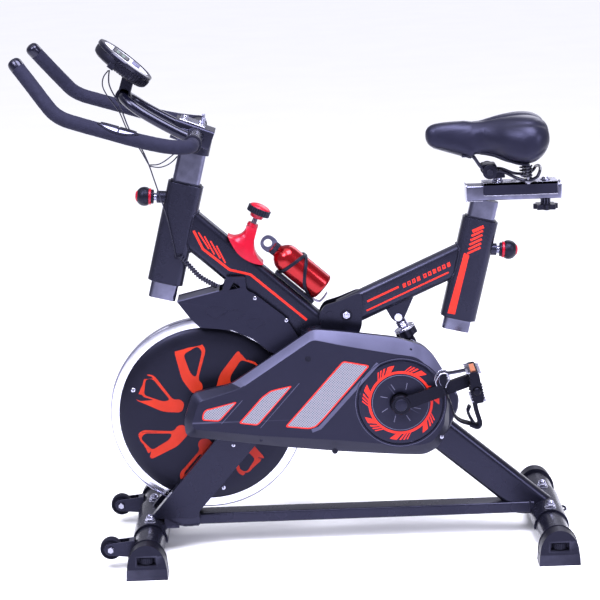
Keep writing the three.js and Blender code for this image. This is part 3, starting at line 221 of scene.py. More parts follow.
# ---------- piece builder ----------
class Piece:
    """Collects solids with their materials and turns them into one Blender object."""

    def __init__(self, name):
        self.name = name
        self.bm = bmesh.new()
        self.looks = []

    def look(self, material):
        if material not in self.looks:
            self.looks.append(material)
        return self.looks.index(material)

    def face(self, verts, index):
        if len(set(verts)) > 2:
            made = self.bm.faces.new(verts)
            made.material_index = index
            made.smooth = True

    def rings(self, rings, material, loop=False, caps=True):
        """Skin over matching rings of points."""
        index = self.look(material)
        rows = [[self.bm.verts.new(p) for p in ring] for ring in rings]
        n = len(rows[0])
        pairs = list(zip(rows, rows[1:])) + ([(rows[-1], rows[0])] if loop else [])
        for low, high in pairs:
            for j in range(n):
                k = (j + 1) % n
                self.face([low[j], low[k], high[k], high[j]], index)
        if caps and not loop:
            self.face(rows[0][::-1], index)
            self.face(rows[-1], index)
        made = [v for row in rows for v in row]
        bmesh.ops.remove_doubles(self.bm, verts=made, dist=1e-4)
        return self

    def bar(self, section, a, b, across, material, cut=None):
        """Straight bar of a section. What lies behind the plane cut, a (point, normal), is removed."""
        x, y, _ = axes(a, b, across)
        before = set(self.bm.faces)
        self.rings([[vec(p) + x * u + y * v for u, v in section] for p in (a, b)], material)
        if cut:
            new = [f for f in self.bm.faces if f not in before]
            geometry = list({v for f in new for v in f.verts}) + list({e for f in new for e in f.edges}) + new
            bmesh.ops.bisect_plane(
                self.bm, geom=geometry, plane_co=cut[0], plane_no=cut[1], clear_inner=True, clear_outer=False
            )
        return self

    def oval(self, width, thickness, a, b, across, material, radius=15, cut=None):
        return self.bar(round_rect(width, thickness, radius, 8), a, b, across, material, cut)

    def plate(self, outline, y0, y1, material, holes=()):
        """Plate between two y values, its outline and holes given as [x, z] points."""
        index = self.look(material)
        loops = [[(p[0], p[1]) for p in outline]] + [[(p[0], p[1]) for p in h] for h in holes]
        flat = [[Vector((x, z, 0)) for x, z in loop] for loop in loops]
        sides = []
        for y in (y0, y1):
            sides.append([self.bm.verts.new((x, y, z)) for loop in loops for x, z in loop])
        if holes:
            for tri in tessellate_polygon(flat):
                for row in sides:
                    self.face([row[i] for i in tri], index)
        else:
            for row in sides:
                self.face(list(row), index)
        start = 0
        for loop in loops:
            n = len(loop)
            for j in range(n):
                a, b = start + j, start + (j + 1) % n
                self.face([sides[0][a], sides[0][b], sides[1][b], sides[1][a]], index)
            start += n
        return self

    def turned(self, profile, origin, axis, material, sides):
        """Turned piece from [radius, height] points."""
        x, y, z = turn_axes(axis)
        ring = circle(1, sides)
        rows = [[vec(origin) + z * h + (x * u + y * v) * r for u, v in ring] for r, h in profile]
        loop = profile[0] == profile[-1]
        return self.rings(rows[:-1] if loop else rows, material, loop=loop, caps=False)

    def rod(self, radius, a, b, material, sides, end=None):
        """Round rod from a to b; end is its radius at b where it tapers."""
        r1 = radius if end is None else end
        length = (vec(b) - vec(a)).length
        return self.turned([(0, 0), (radius, 0), (r1, length), (0, length)], a, unit(a, b), material, sides)

    def cross(self, radius, centre, y0, y1, material, sides=32):
        return self.rod(radius, at_y(centre, y0), at_y(centre, y1), material, sides)

    def tube(self, points, radius, material, sides=16, loop=False, flat=None):
        """Tube along points. Its radius may be a list, and flat is a section to use instead of a circle."""
        pts = [vec(p) for p in points]
        n = len(pts)
        rows = []
        side = None
        for i, p in enumerate(pts):
            a = pts[i - 1] if loop else pts[max(0, i - 1)]
            b = pts[(i + 1) % n] if loop else pts[min(n - 1, i + 1)]
            d = (b - a).normalized()
            if side is None:
                side = (Vector(SIDE) if abs(d.y) < 0.9 else Vector(ALONG_X)).cross(d).normalized()
            side = (side - d * side.dot(d)).normalized()
            up = d.cross(side)
            r = radius[i] if isinstance(radius, list) else radius
            section = flat if flat else circle(r, sides)
            rows.append([p + side * u + up * v for u, v in section])
        return self.rings(rows, material, loop=loop)

    def hexnut(self, radius, a, b, material):
        """Hexagon with its outer corners turned off."""
        x, y, z = turn_axes(unit(a, b))
        length = (vec(b) - vec(a)).length
        rows = []
        for scale, h in ((1, 0), (1, length * 0.8), (0.9, length)):
            rows.append([vec(a) + z * h + (x * u + y * v) * scale for u, v in circle(radius, 6)])
        return self.rings(rows, material)

    def done(self, body, *nodes, bevel=0.5, angle=32, slot=None, segments=2):
        """Makes the Blender object: sharp edges over angle degrees, a bevel, its body and nodes. The slot
        argument is not used.
        """
        bm = self.bm
        bmesh.ops.recalc_face_normals(bm, faces=bm.faces)
        for e in bm.edges:
            if len(e.link_faces) == 2 and e.calc_face_angle(0) > math.radians(angle):
                e.smooth = False
        for v in bm.verts:
            v.co = (v.co + Vector((SHIFT, 0, 0))) * MM
        mesh = bpy.data.meshes.new(self.name)
        bm.to_mesh(mesh)
        bm.free()
        for material in self.looks:
            mesh.materials.append(material)
        obj = bpy.data.objects.new(self.name, mesh)
        bpy.context.scene.collection.objects.link(obj)
        if bevel:
            m = obj.modifiers.new("edges", "BEVEL")
            m.width = bevel * MM
            m.segments = segments
            m.limit_method = "ANGLE"
            m.angle_limit = math.radians(angle)
            m.miter_outer = "MITER_ARC"
        if body:
            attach(obj, body)
        if nodes:
            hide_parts(*nodes)
        return obj


# ---------- materials ----------
def linear(rgb):
    out = []
    for c in rgb:
        c /= 255
        out.append(c / 12.92 if c <= 0.04045 else ((c + 0.055) / 1.055) ** 2.4)
    return (*out, 1)


SHEEN = (0.42, 0.42, 0.72, 1)  # the blue cast of the dark finishes' reflections
GRAIN_DEPTH = 0.3
MESH_PITCH = 4.0


def surface(
    name, colour, rough, metal=0.0, vary=0.12, patch=30, grain=0.8, bump=0.08, spread=0.08, wear=None,
    kind="noise", coat=0.0, specular=0.5,
):
    """Procedural finish: patchy colour, uneven roughness, a fine grain and paler worn edges."""
    mat = bpy.data.materials.new(name)
    mat.use_nodes = True
    nodes, links = mat.node_tree.nodes, mat.node_tree.links
    shader = nodes["Principled BSDF"]
    base = linear(colour)
    where = nodes.new("ShaderNodeTexCoord").outputs["Object"]
    broad = nodes.new("ShaderNodeTexNoise")
    broad.inputs["Scale"].default_value = 1000 / patch
    broad.inputs["Detail"].default_value = 5
    links.new(where, broad.inputs["Vector"])
    ramp = nodes.new("ShaderNodeValToRGB")
    ramp.color_ramp.elements[0].position = 0.3
    ramp.color_ramp.elements[1].position = 0.7
    ramp.color_ramp.elements[0].color = (*[c * (1 - vary) for c in base[:3]], 1)
    ramp.color_ramp.elements[1].color = (*[min(1, c * (1 + vary)) for c in base[:3]], 1)
    links.new(broad.outputs["Fac"], ramp.inputs["Fac"])
    colour_out = ramp.outputs["Color"]
    if wear:
        edge = nodes.new("ShaderNodeNewGeometry").outputs["Pointiness"]
        limits = nodes.new("ShaderNodeValToRGB")
        limits.color_ramp.elements[0].position = 0.54
        limits.color_ramp.elements[1].position = 0.64
        links.new(edge, limits.inputs["Fac"])
        breakup = nodes.new("ShaderNodeMath")
        breakup.operation = "MULTIPLY"
        links.new(limits.outputs["Color"], breakup.inputs[0])
        links.new(broad.outputs["Fac"], breakup.inputs[1])
        mix = nodes.new("ShaderNodeMixRGB")
        mix.inputs["Color2"].default_value = linear(wear)
        links.new(breakup.outputs[0], mix.inputs["Fac"])
        links.new(colour_out, mix.inputs["Color1"])
        colour_out = mix.outputs["Color"]
    links.new(colour_out, shader.inputs["Base Color"])
    fine = nodes.new("ShaderNodeTexVoronoi" if kind == "cells" else "ShaderNodeTexNoise")
    fine.inputs["Scale"].default_value = 1000 / grain
    links.new(where, fine.inputs["Vector"])
    fine_out = fine.outputs["Distance"] if kind == "cells" else fine.outputs["Fac"]
    if kind == "brushed":
        stretch = nodes.new("ShaderNodeMapping")
        stretch.inputs["Scale"].default_value = (1, 1, 0.06)
        links.new(where, stretch.inputs["Vector"])
        links.new(stretch.outputs["Vector"], fine.inputs["Vector"])
    remap = nodes.new("ShaderNodeMapRange")
    remap.inputs["To Min"].default_value = max(0.02, rough - spread)
    remap.inputs["To Max"].default_value = min(1, rough + spread)
    links.new(broad.outputs["Fac"], remap.inputs["Value"])
    links.new(remap.outputs["Result"], shader.inputs["Roughness"])
    normal = nodes.new("ShaderNodeBump")
    normal.inputs["Strength"].default_value = bump
    normal.inputs["Distance"].default_value = GRAIN_DEPTH * MM
    links.new(fine_out, normal.inputs["Height"])
    links.new(normal.outputs["Normal"], shader.inputs["Normal"])
    shader.inputs["Metallic"].default_value = metal
    shader.inputs["Coat Weight"].default_value = coat
    shader.inputs["Coat Roughness"].default_value = 0.15
    shader.inputs["Specular IOR Level"].default_value = specular
    if metal < 0.5:
        shader.inputs["Specular Tint"].default_value = SHEEN
    return mat


def weave(name, light, dark):
    """Fine diagonal mesh: two crossed wave bands, dark in the gaps."""
    mat = surface(name, light, rough=0.45, metal=0.2)
    nodes, links = mat.node_tree.nodes, mat.node_tree.links
    shader = nodes["Principled BSDF"]
    where = nodes.new("ShaderNodeTexCoord").outputs["Object"]
    product = None
    for turn in (45, -45):
        mapping = nodes.new("ShaderNodeMapping")
        mapping.inputs["Rotation"].default_value = (0, math.radians(turn), 0)
        links.new(where, mapping.inputs["Vector"])
        wave = nodes.new("ShaderNodeTexWave")
        wave.inputs["Scale"].default_value = TAU / 20 / (MESH_PITCH * MM)
        wave.inputs["Distortion"].default_value = 0
        links.new(mapping.outputs["Vector"], wave.inputs["Vector"])
        if product is None:
            product = wave.outputs["Fac"]
        else:
            both = nodes.new("ShaderNodeMath")
            both.operation = "MAXIMUM"
            links.new(product, both.inputs[0])
            links.new(wave.outputs["Fac"], both.inputs[1])
            product = both.outputs[0]
    ramp = nodes.new("ShaderNodeValToRGB")
    ramp.color_ramp.elements[0].position = 0.3
    ramp.color_ramp.elements[1].position = 0.8
    ramp.color_ramp.elements[0].color = linear(dark)
    ramp.color_ramp.elements[1].color = linear(light)
    links.new(product, ramp.inputs["Fac"])
    links.new(ramp.outputs["Color"], shader.inputs["Base Color"])
    normal = next(n for n in nodes if n.type == "BUMP")
    links.new(product, normal.inputs["Height"])
    normal.inputs["Strength"].default_value = 0.5
    return mat


FRAME = surface(
    "frame_paint", (12, 12, 20), rough=0.27, patch=60, grain=1.6, bump=0.05, spread=0.06, wear=(78, 78, 98),
)
SATIN = surface(
    "satin_black", (11, 11, 18), rough=0.38, patch=40, grain=0.7, bump=0.12, spread=0.06, wear=(70, 70, 88),
    specular=0.36,
)
PLASTIC = surface(
    "moulded_plastic", (12, 12, 19), rough=0.42, vary=0.14, patch=35, grain=0.9, bump=0.18, spread=0.07,
    wear=(66, 66, 82), specular=0.36,
)
PANEL = surface(
    "guard_plastic", (18, 18, 29), rough=0.38, vary=0.1, patch=70, bump=0.12, spread=0.05, wear=(96, 96, 122),
    specular=0.4,
)
# Paler tone of the guard plastic. On the guards' up-facing flanks, the stem block's sides and the flywheel
# guard's top edges it is a painted highlight.
BEVEL = surface(
    "guard_bevel", (66, 66, 86), rough=0.34, vary=0.1, patch=60, bump=0.12, spread=0.05, wear=(130, 130, 165),
    specular=0.45,
)
GLOSS = surface(
    "gloss_black", (10, 10, 22), rough=0.2, vary=0.1, patch=40, grain=2.0, bump=0.03, spread=0.03, coat=0.25,
    specular=0.42,
)
FOAM = surface(
    "grip_foam", (30, 30, 44), rough=0.8, vary=0.16, patch=12, grain=0.9, bump=0.55, spread=0.06,
    kind="cells", specular=0.3,
)
VINYL = surface(
    "saddle_vinyl", (20, 20, 32), rough=0.36, vary=0.14, patch=40, grain=1.5, bump=0.3, spread=0.05,
    wear=(56, 56, 72), kind="cells", specular=0.42,
)
CRANK_BLACK = surface(
    "crank_black", (7, 7, 11), rough=0.26, patch=40, grain=0.9, bump=0.05, spread=0.06, specular=0.22,
)
RUBBER = surface(
    "rubber", (16, 16, 24), rough=0.7, vary=0.18, patch=12, grain=0.6, bump=0.3, wear=(60, 60, 68),
    specular=0.3,
)
CHROME = surface(
    "chrome", (172, 172, 196), rough=0.12, metal=1.0, vary=0.16, patch=22, grain=0.6, bump=0.03, spread=0.05,
)
POST = surface("post_chrome", (96, 96, 118), rough=0.16, metal=1.0, vary=0.34, patch=34, grain=0.7, bump=0.05)
BRUSHED = surface(
    "brushed_steel", (150, 150, 168), rough=0.26, metal=1.0, vary=0.14, patch=20, grain=0.9, bump=0.14,
    spread=0.07, kind="brushed",
)
IRON = surface(
    "machined_iron", (206, 206, 222), rough=0.16, metal=1.0, vary=0.1, patch=25, spread=0.05, kind="brushed",
)
ZINC = surface("zinc_plate", (146, 146, 162), rough=0.3, metal=1.0, vary=0.16, patch=8, grain=0.6, bump=0.15)
DECAL = surface("decal_orange", (204, 44, 28), rough=0.42, vary=0.06, bump=0.06, spread=0.05, specular=0.3)
DECAL_DARK = surface(
    "decal_deep_orange", (166, 44, 22), rough=0.45, vary=0.08, bump=0.06, spread=0.05, specular=0.25,
)
DECAL_GREY = surface("decal_grey", (96, 96, 118), rough=0.45, vary=0.06, bump=0.06, spread=0.05, specular=0.3)
RED = surface(
    "red_plastic", (158, 6, 30), rough=0.34, vary=0.1, patch=25, grain=1.2, bump=0.06, spread=0.05,
    wear=(236, 70, 84), coat=0.2, specular=0.4,
)
BOTTLE = surface(
    "bottle_lacquer", (146, 2, 16), rough=0.2, metal=0.8, grain=0.5, bump=0.05, spread=0.05, coat=0.3,
)
AMBER = surface(
    "amber_reflector", (170, 104, 72), rough=0.18, vary=0.1, patch=6, grain=2.0, bump=0.5, spread=0.04,
    kind="cells", coat=0.4,
)
FELT = surface("wool_felt", (132, 116, 92), rough=0.95, vary=0.2, patch=5, grain=0.5, bump=0.6, spread=0.04)
WHITE = surface("white_plastic", (216, 216, 228), rough=0.35, vary=0.04, grain=0.9, bump=0.06, spread=0.05)
SCREEN = surface(
    "console_glass", (24, 32, 30), rough=0.08, vary=0.05, patch=20, grain=3.0, bump=0.02, spread=0.02,
    coat=0.6,
)
SEGMENT = surface(
    "display_segment", (110, 130, 118), rough=0.3, vary=0.05, patch=20, grain=1.0, bump=0.02, spread=0.02,
)
FLOOR = surface(
    "studio_paper", (250, 250, 252), rough=0.9, vary=0.01, patch=400, grain=3, bump=0.02, spread=0.03,
)
MESH = weave("grey_mesh", (132, 132, 142), (66, 66, 78))
WEBBING = surface(
    "strap_webbing", (20, 20, 27), rough=0.75, vary=0.14, patch=8, grain=0.5, bump=0.5, spread=0.05,
    specular=0.3,
)

# ---------- named places of the bike, millimetres ----------
HEAD_BOTTOM, HEAD_TOP = (-293.4, 0, 601.6), (-238.2, 0, 817.4)
SEAT_BOTTOM, SEAT_TOP = (345.8, 0, 498.3), (399.2, 0, 716.1)
HEAD_AXIS = unit(HEAD_BOTTOM, HEAD_TOP)
DOWN_START, DOWN_END = (-222, 0, 708.5), (149, 0, 374.6)
LEG_START, LEG_END = (152, 0, 367), (560, 0, 16.8)
AXLE = (-214, 0, 302.7)
CRANK, CRANK_END = (210.7, 0, 334.5), (367, 0, 386.5)
ARM_PIVOT = (100.3, 0, 518.3)
ARM_START, ARM_END = (92, 0, 515.8), (371, 0, 637.7)
DAMPER_TOP, DAMPER_FOOT = (214.2, 0, 505.8), (241.5, 0, 447.7)
DAMPER_AXIS = unit(DAMPER_TOP, DAMPER_FOOT)
FRONT_X, REAR_X, STAB_Z = -348.2, 536.3, 39.5
WHEEL_X, WHEEL_Y, WHEEL_Z = -429.5, 157, 47
ROD_TOP, ROD_AXIS = (-88, 0, 739.8), (0.429, 0, 0.903)
BOTTLE_FOOT, BOTTLE_AXIS = (50.7, 0, 574.9), (-0.743, 0, 0.669)
CONSOLE, CONSOLE_AXIS = (-362, 0, 1082), (0.643, 0, 0.766)
CONSOLE_PIVOT = (-364, 0, 1012)
CROSSBAR = (-213, 0, 925)
SADDLE_PIVOT = (419, 0, 822.9)
HANDLEBAR_PIN, HANDLEBAR_PIN_AXIS = (-281, 0, 788.8), (-0.9977, 0, 0.068)
SEAT_PIN, SEAT_PIN_AXIS = (417, 0, 648.3), (0.9977, 0, -0.068)
ROD_ACROSS = (0.903, 0, -0.429)
BOTTLE_UP = Vector((0.669, 0, 0.743))
TWO_SIDES = (-1, 1)
NAMED_SIDES = ((-1, "left"), (1, "right"))


def inside_oval(p, a, b, across, width, thickness, radius):
    """Whether p lies inside an endless flat-oval tube."""
    x, y, _ = axes(a, b, across)
    d = p - vec(a)
    u, v = abs(d.dot(x)) - (width / 2 - radius), abs(d.dot(y)) - (thickness / 2 - radius)
    return math.hypot(max(u, 0), max(v, 0)) + min(max(u, v), 0) < radius


def bead(piece, line, radius, loop=False):
    """Weld bead along a line, slightly uneven in thickness."""
    radii = [radius * (1 + 0.16 * math.sin(i * 2.1)) for i in range(len(line))]
    piece.tube(line, radii, FRAME, 8, loop=loop)


def weld(piece, a, b, across, width, thickness, target, corner=15, reach=160):
    """Weld bead where a flat-oval tube from a to b leaves the target, given as inside_oval arguments."""
    x, y, z = axes(a, b, across)
    line = []
    for u, v in round_rect(width + 1, thickness + 1, corner, 8):
        start = vec(a) - z * 30 + x * u + y * v
        hits = [k for k in range(61) if inside_oval(start + z * (reach * k / 60), *target)]
        if not hits:
            continue
        low, high = reach * hits[-1] / 60, min(reach, reach * (hits[-1] + 1) / 60)
        for _ in range(12):
            middle = (low + high) / 2
            if inside_oval(start + z * middle, *target):
                low = middle
            else:
                high = middle
        line.append(start + z * low)
    if len(line) < 8:
        return
    bead(piece, smooth(line + [line[0]], 4)[:-1], 2.6, loop=True)


def screw(piece, x, z, y, out, material, radius):
    """Domed cross-head screw on a side face; out is -1 or 1, the way it faces."""
    piece.turned(
        [(0, 0), (radius, 0), (radius, 0.6), (radius * 0.8, 1.6), (radius * 0.4, 2.1), (0, 2.2)],
        (x, y, z), (0, out, 0), material, 20,
    )
    for wide, tall in ((radius * 0.5, 0.5), (0.5, radius * 0.5)):
        outline = box(x - wide, z - tall, x + wide, z + tall)
        piece.plate(outline, y + out * 1.6, y + out * 2.35, PLASTIC)


SLEEVE_SECTION, SLEEVE_CORNER = (78, 44), 15
POST_SECTION = (60, 30)
HEAD_TUBE = (HEAD_BOTTOM, HEAD_TOP, ALONG_X, *SLEEVE_SECTION, SLEEVE_CORNER)
SEAT_TUBE = (SEAT_BOTTOM, SEAT_TOP, ALONG_X, *SLEEVE_SECTION, SLEEVE_CORNER)


def sleeve(p, bottom, top):
    """Flat-oval tube that a post slides in, with a plastic lip at both ends."""
    axis = unit(bottom, top)
    p.oval(*SLEEVE_SECTION, bottom, top, ALONG_X, FRAME, SLEEVE_CORNER)
    p.oval(69, 38, top, along(top, axis, 3.5), ALONG_X, PLASTIC, 12)
    p.oval(67, 37, along(bottom, axis, -2), bottom, ALONG_X, PLASTIC, 12)


def flat_post(p, bottom, top, below, above, side, holes):
    """Post through the sleeve from bottom to top, with a row of ringed holes on one narrow side."""
    axis = unit(bottom, top)
    a, b = along(bottom, axis, -below), along(top, axis, above)
    p.oval(*POST_SECTION, a, b, ALONG_X, POST, 9)
    p.oval(56, 26, along(a, axis, -0.4), along(a, axis, 0.3), ALONG_X, PLASTIC, 7)
    out = axes(a, b, ALONG_X)[0] * side
    ring = [(0, -3), (6.8, -3), (6.8, 0.25), (7.6, 0.1), (7.9, -1)]
    for d in holes:
        p.turned(ring, along(top, axis, d) + out * POST_SECTION[0] / 2, out, PLASTIC, 32)


def head_tube():
    p = Piece("head_tube_shell")
    sleeve(p, HEAD_BOTTOM, HEAD_TOP)
    pin, axis = HANDLEBAR_PIN, HANDLEBAR_PIN_AXIS
    p.rod(13.5, along(pin, axis, -4), along(pin, axis, 22.2), FRAME, 32)
    p.cross(6.4, (-264, 0, 661), -20, -24.6, RUBBER, 24)
    p.done("frame", "head_tube", bevel=1.0, slot="frame_paint")


def down_tube():
    p = Piece("down_tube_shell")
    inner = along(DOWN_START, unit(DOWN_END, DOWN_START), 70)
    facing = (HEAD_AXIS.z, 0, -HEAD_AXIS.x)
    p.oval(40, 80, inner, DOWN_END, SIDE, FRAME, cut=(HEAD_TOP, facing))
    weld(p, DOWN_START, DOWN_END, SIDE, 40, 80, HEAD_TUBE)
    outline = [
        (44, 478), (40, 520), (52, 540), (84, 549), (128, 566), (136, 560), (134, 492), (112, 440), (84, 440),
    ]
    for side in TWO_SIDES:
        p.plate(rounded(outline, 9), side * 25, side * 19.9, FRAME)
        p.cross(13, ARM_PIVOT, side * 25, side * 26.6, SATIN)
        p.hexnut(9, at_y(ARM_PIVOT, side * 26.6), at_y(ARM_PIVOT, side * 32.6), CHROME)
        p.turned(
            [(0, 0), (5.4, 0), (4.4, 2.2), (0, 2.8)], at_y(ARM_PIVOT, side * 32.6), (0, side, 0), CHROME, 24,
        )
        p.cross(7, (63, 0, 520), side * 25, side * 27.4, FRAME, 24)
    p.cross(8, ARM_PIVOT, -30, 30, BRUSHED)
    stripes = [
        ([(-225.5, 716), (-207.1, 674.9), (-150.8, 626.6), (-106.1, 614.5), (13.2, 508.3)], 5.4),
        ([(-215.3, 712), (-194, 674.4)], 3.2),
        ([(-202.7, 703), (-182.8, 662)], 3.2),
        ([(-190, 692), (-170.1, 652.7)], 3.2),
        ([(-177.4, 681), (-159.7, 642.1)], 3.2),
    ]
    for line, width in stripes:
        for side in TWO_SIDES:
            p.plate(band(line, width), side * 19.9, side * 20.3, DECAL)
    p.done("frame", "down_tube", bevel=0.8, slot="frame_paint")


def rear_leg():
    p = Piece("rear_leg_shell")
    p.oval(40, 73, LEG_START, LEG_END, SIDE, FRAME, cut=((0, 0, 62), UP))
    p.cross(25, CRANK, -34, 34, FRAME, 48)
    lug = [(180, 352), (222, 446), (233, 459), (250, 459), (256, 440), (262, 320)]
    p.plate(rounded(lug, 8), -6, 6, FRAME)
    for side in TWO_SIDES:
        screw(p, 299, 240, side * 20, side, ZINC, 4.4)
        p.cross(20.5, CRANK, side * 34, side * 36.5, BRUSHED, 48)
    rail = ((-318, 0, 62.1), (560, 0, 62.1), SIDE, 49, 25.4, 2)
    weld(p, along(LEG_START, unit(LEG_START, LEG_END), 250), LEG_END, SIDE, 40, 73, rail, reach=400)
    p.done("frame", "rear_leg", bevel=0.8, slot="frame_paint")


def half_cradle(p, x):
    """Saddle-shaped plate over the stabiliser tube."""
    arch = []
    for radius, start, sweep in ((38.6, -9, 198), (34.4, 189, -198)):
        for k in range(25):
            t = math.radians(start + sweep * k / 24)
            arch.append((x + radius * math.cos(t), STAB_Z + radius * math.sin(t)))
    p.rings([ring_at(arch, y) for y in (-96, 96)], FRAME)


def base_rail():
    p = Piece("base_rail_shell")
    p.bar(round_rect(48.8, 25, 4), (-318.2, 0, 62.1), (506.3, 0, 62.1), SIDE, FRAME)
    p.plate(box(-322, 54, -286, 60), -58, 58, FRAME)
    for x in (FRONT_X, REAR_X):
        half_cradle(p, x)
        for side in TWO_SIDES:
            y = side * 76.8
            p.turned([(0, 0), (13, 0), (13, 1.6), (0, 1.6)], (x, y, 77), UP, ZINC, 32)
            p.hexnut(10.8, (x, y, 78.6), (x, y, 86), BRUSHED)
            p.turned(
                [(0, 0), (8.6, 0), (8.2, 3), (6.5, 6.2), (3.4, 7.8), (0, 8.3)], (x, y, 85.8), UP, CHROME, 24,
            )
    for x in (-309.5, 497.6):
        line = [(x, -24.6, 52), (x, -24.6, 74), (x, -22, 75.2), (x, 22, 75.2), (x, 24.6, 74), (x, 24.6, 52)]
        bead(p, smooth(line, 6), 2.3)
    p.done("frame", "base_rail", bevel=0.8, slot="frame_paint")


def front_legs():
    outline = [(-350, 77), (-243, 77), (-240.5, 90), (74, 447), (42, 500), (14, 496)]
    dropout = [(-232, 286), (-236, 300), (-228, 320), (-204, 322), (-120, 300), (-160, 240)]
    foot = box(-318, 60.3, -240, 92)
    strip = [(0, 490), (38, 476), (38, 442), (6, 438)]
    for side, name in NAMED_SIDES:
        p = Piece("front_leg_shell_" + name)
        p.plate(rounded(outline, 7), side * 60, side * 35, FRAME)
        p.plate(foot, side * 59.5, side * 35.5, FRAME)
        p.plate(rounded(dropout, 6), side * 52, side * 44, FRAME)
        p.plate(strip, side * 36, side * 20.4, FRAME)
        screw(p, -157.9, 241, side * 60, side, CHROME, 4.6)
        joint = [(-309, side * 60.4, 77.5), (-280, side * 60.6, 61.5), (-242, side * 60.4, 61)]
        bead(p, smooth(joint, 8), 2.2)
        p.done("frame", "front_leg_" + name, bevel=2.6, slot="frame_paint", segments=4)


def stabilisers():
    for x, name in ((FRONT_X, "front"), (REAR_X, "rear")):
        p = Piece(name + "_stabilizer_tube")
        p.cross(34, (x, 0, STAB_Z), -212, 212, FRAME, 64)
        if name == "front":
            for side in TWO_SIDES:
                wheel_fork(p, x, side * WHEEL_Y)
        p.done("frame", name + "_stabilizer", bevel=0.7, slot="frame_paint")


def wheel_fork(p, x, y):
    outline = [(-440, 36), (-444, 47), (-440, 58), (-429, 61), (x - 28, 66), (x - 28, 28), (-429, 33)]
    for a in (-14.4, 11.4):
        p.plate(rounded(outline, 5), y + a, y + a + 3, FRAME)
    p.plate([(x - 42, 30), (x - 30, 28), (x - 30, 66), (x - 42, 64)], y - 14, y + 14, FRAME)
    pin = (WHEEL_X, 0, WHEEL_Z)
    p.cross(4, pin, y - 19, y + 19, BRUSHED, 20)
    for inner, outer in ((-15, -20), (15.4, 20.4)):
        p.hexnut(7.5, at_y(pin, y + inner), at_y(pin, y + outer), BRUSHED)


CAP_ARCH = [
    (-44.2, 0), (-44.2, 4), (-42, 30), (-40, 44), (-34, 58), (-24, 70), (-12, 77), (0, 79),
    (12, 77), (24, 70), (34, 58), (40, 44), (42, 30), (44.2, 4), (44.2, 0),
]


def foot_caps():
    smooth_arch = rounded(CAP_ARCH, 7)
    for x, end in ((FRONT_X, "front"), (REAR_X, "rear")):
        arch = [(x + a, b) for a, b in smooth_arch]
        window = box(x - 20, 34, x + 20, 52)
        for side, name in NAMED_SIDES:
            p = Piece(end + "_cap_shell_" + name)
            p.plate(arch, side * 245, side * 232.5, PLASTIC, holes=[window])
            p.plate(arch, side * 233, side * 207.5, PLASTIC)
            skirt = [(x - 44.5, 0), (x - 43.2, 24), (x + 43.2, 24), (x + 44.5, 0)]
            p.plate(skirt, side * 245.4, side * 207.2, PLASTIC)
            frame_line = box(x - 24, 30.5, x + 24, 55.5)
            p.plate(frame_line, side * 245.5, side * 244.4, PLASTIC, holes=[window])
            rib = [(x + a * 1.005, side * 207.6, b * 1.004) for a, b in CAP_ARCH[1:-1]]
            p.tube(smooth(rib, 4), 0.9, PLASTIC, 6)
            p.done("frame", f"{end}_cap_{name}", bevel=1.2, slot="black_plastic", segments=3)
            w = Piece(f"{end}_leveller_wheel_{name}")
            centre = (x, side * 229.2, 43)
            w.bar(toothed(16.2, 1.1, 22), along(centre, UP, -7), along(centre, UP, 7), ALONG_X, RUBBER)
            w.rod(4, along(centre, UP, -10.5), along(centre, UP, 10.5), ZINC, 20)
            w.done(f"{end}_leveller_{name}", f"{end}_leveller_{name}", bevel=0.4, slot="black_plastic")


def transport_wheels():
    for side, name in NAMED_SIDES:
        p = Piece("transport_wheel_tyre_" + name)
        centre = (WHEEL_X, side * WHEEL_Y, WHEEL_Z)
        tyre = [
            (18.4, -9.5), (21.5, -11), (23.4, -9.6), (24, -6), (24, 6), (23.4, 9.6), (21.5, 11), (18.4, 9.5),
            (18.4, -9.5),
        ]
        hub = [
            (4.4, -11), (9, -11), (10, -9), (17, -8), (18.6, -9), (18.6, 9), (17, 8), (10, 9), (9, 11),
            (4.4, 11), (4.4, -11),
        ]
        p.turned(tyre, centre, SIDE, RUBBER, 48)
        p.turned(hub, centre, SIDE, PLASTIC, 48)
        p.done("transport_wheel_" + name, "transport_wheel_" + name, bevel=0.5, slot="rubber")


# ---------- flywheel and drive ----------
PETAL = [(-67, 149.6), (-13, 170.6), (4.1, 150), (-17, 81), (-6.5, 69.6), (-8.8, 55.3), (-29, 48), (-52, 82)]
PETAL_HOLE = [(-46.5, 139), (-15, 157), (-4.7, 145.4), (-21.2, 85.7), (-33, 95.7)]


def petal_ring():
    outer = rounded(PETAL, 11, 5)
    hole = rounded(PETAL_HOLE, 8, 5)
    for i in range(7):
        yield turned2(outer, i * 360 / 7), turned2(hole, i * 360 / 7)


def cover_y(r):
    """Distance of the cover's outer face from the middle plane at radius r."""
    if r < 150:
        return 25.5
    if r < 178:
        return 25.5 - 3 * (r - 150) / 28
    return 22.5 - 7.1 * (r - 178) / 17


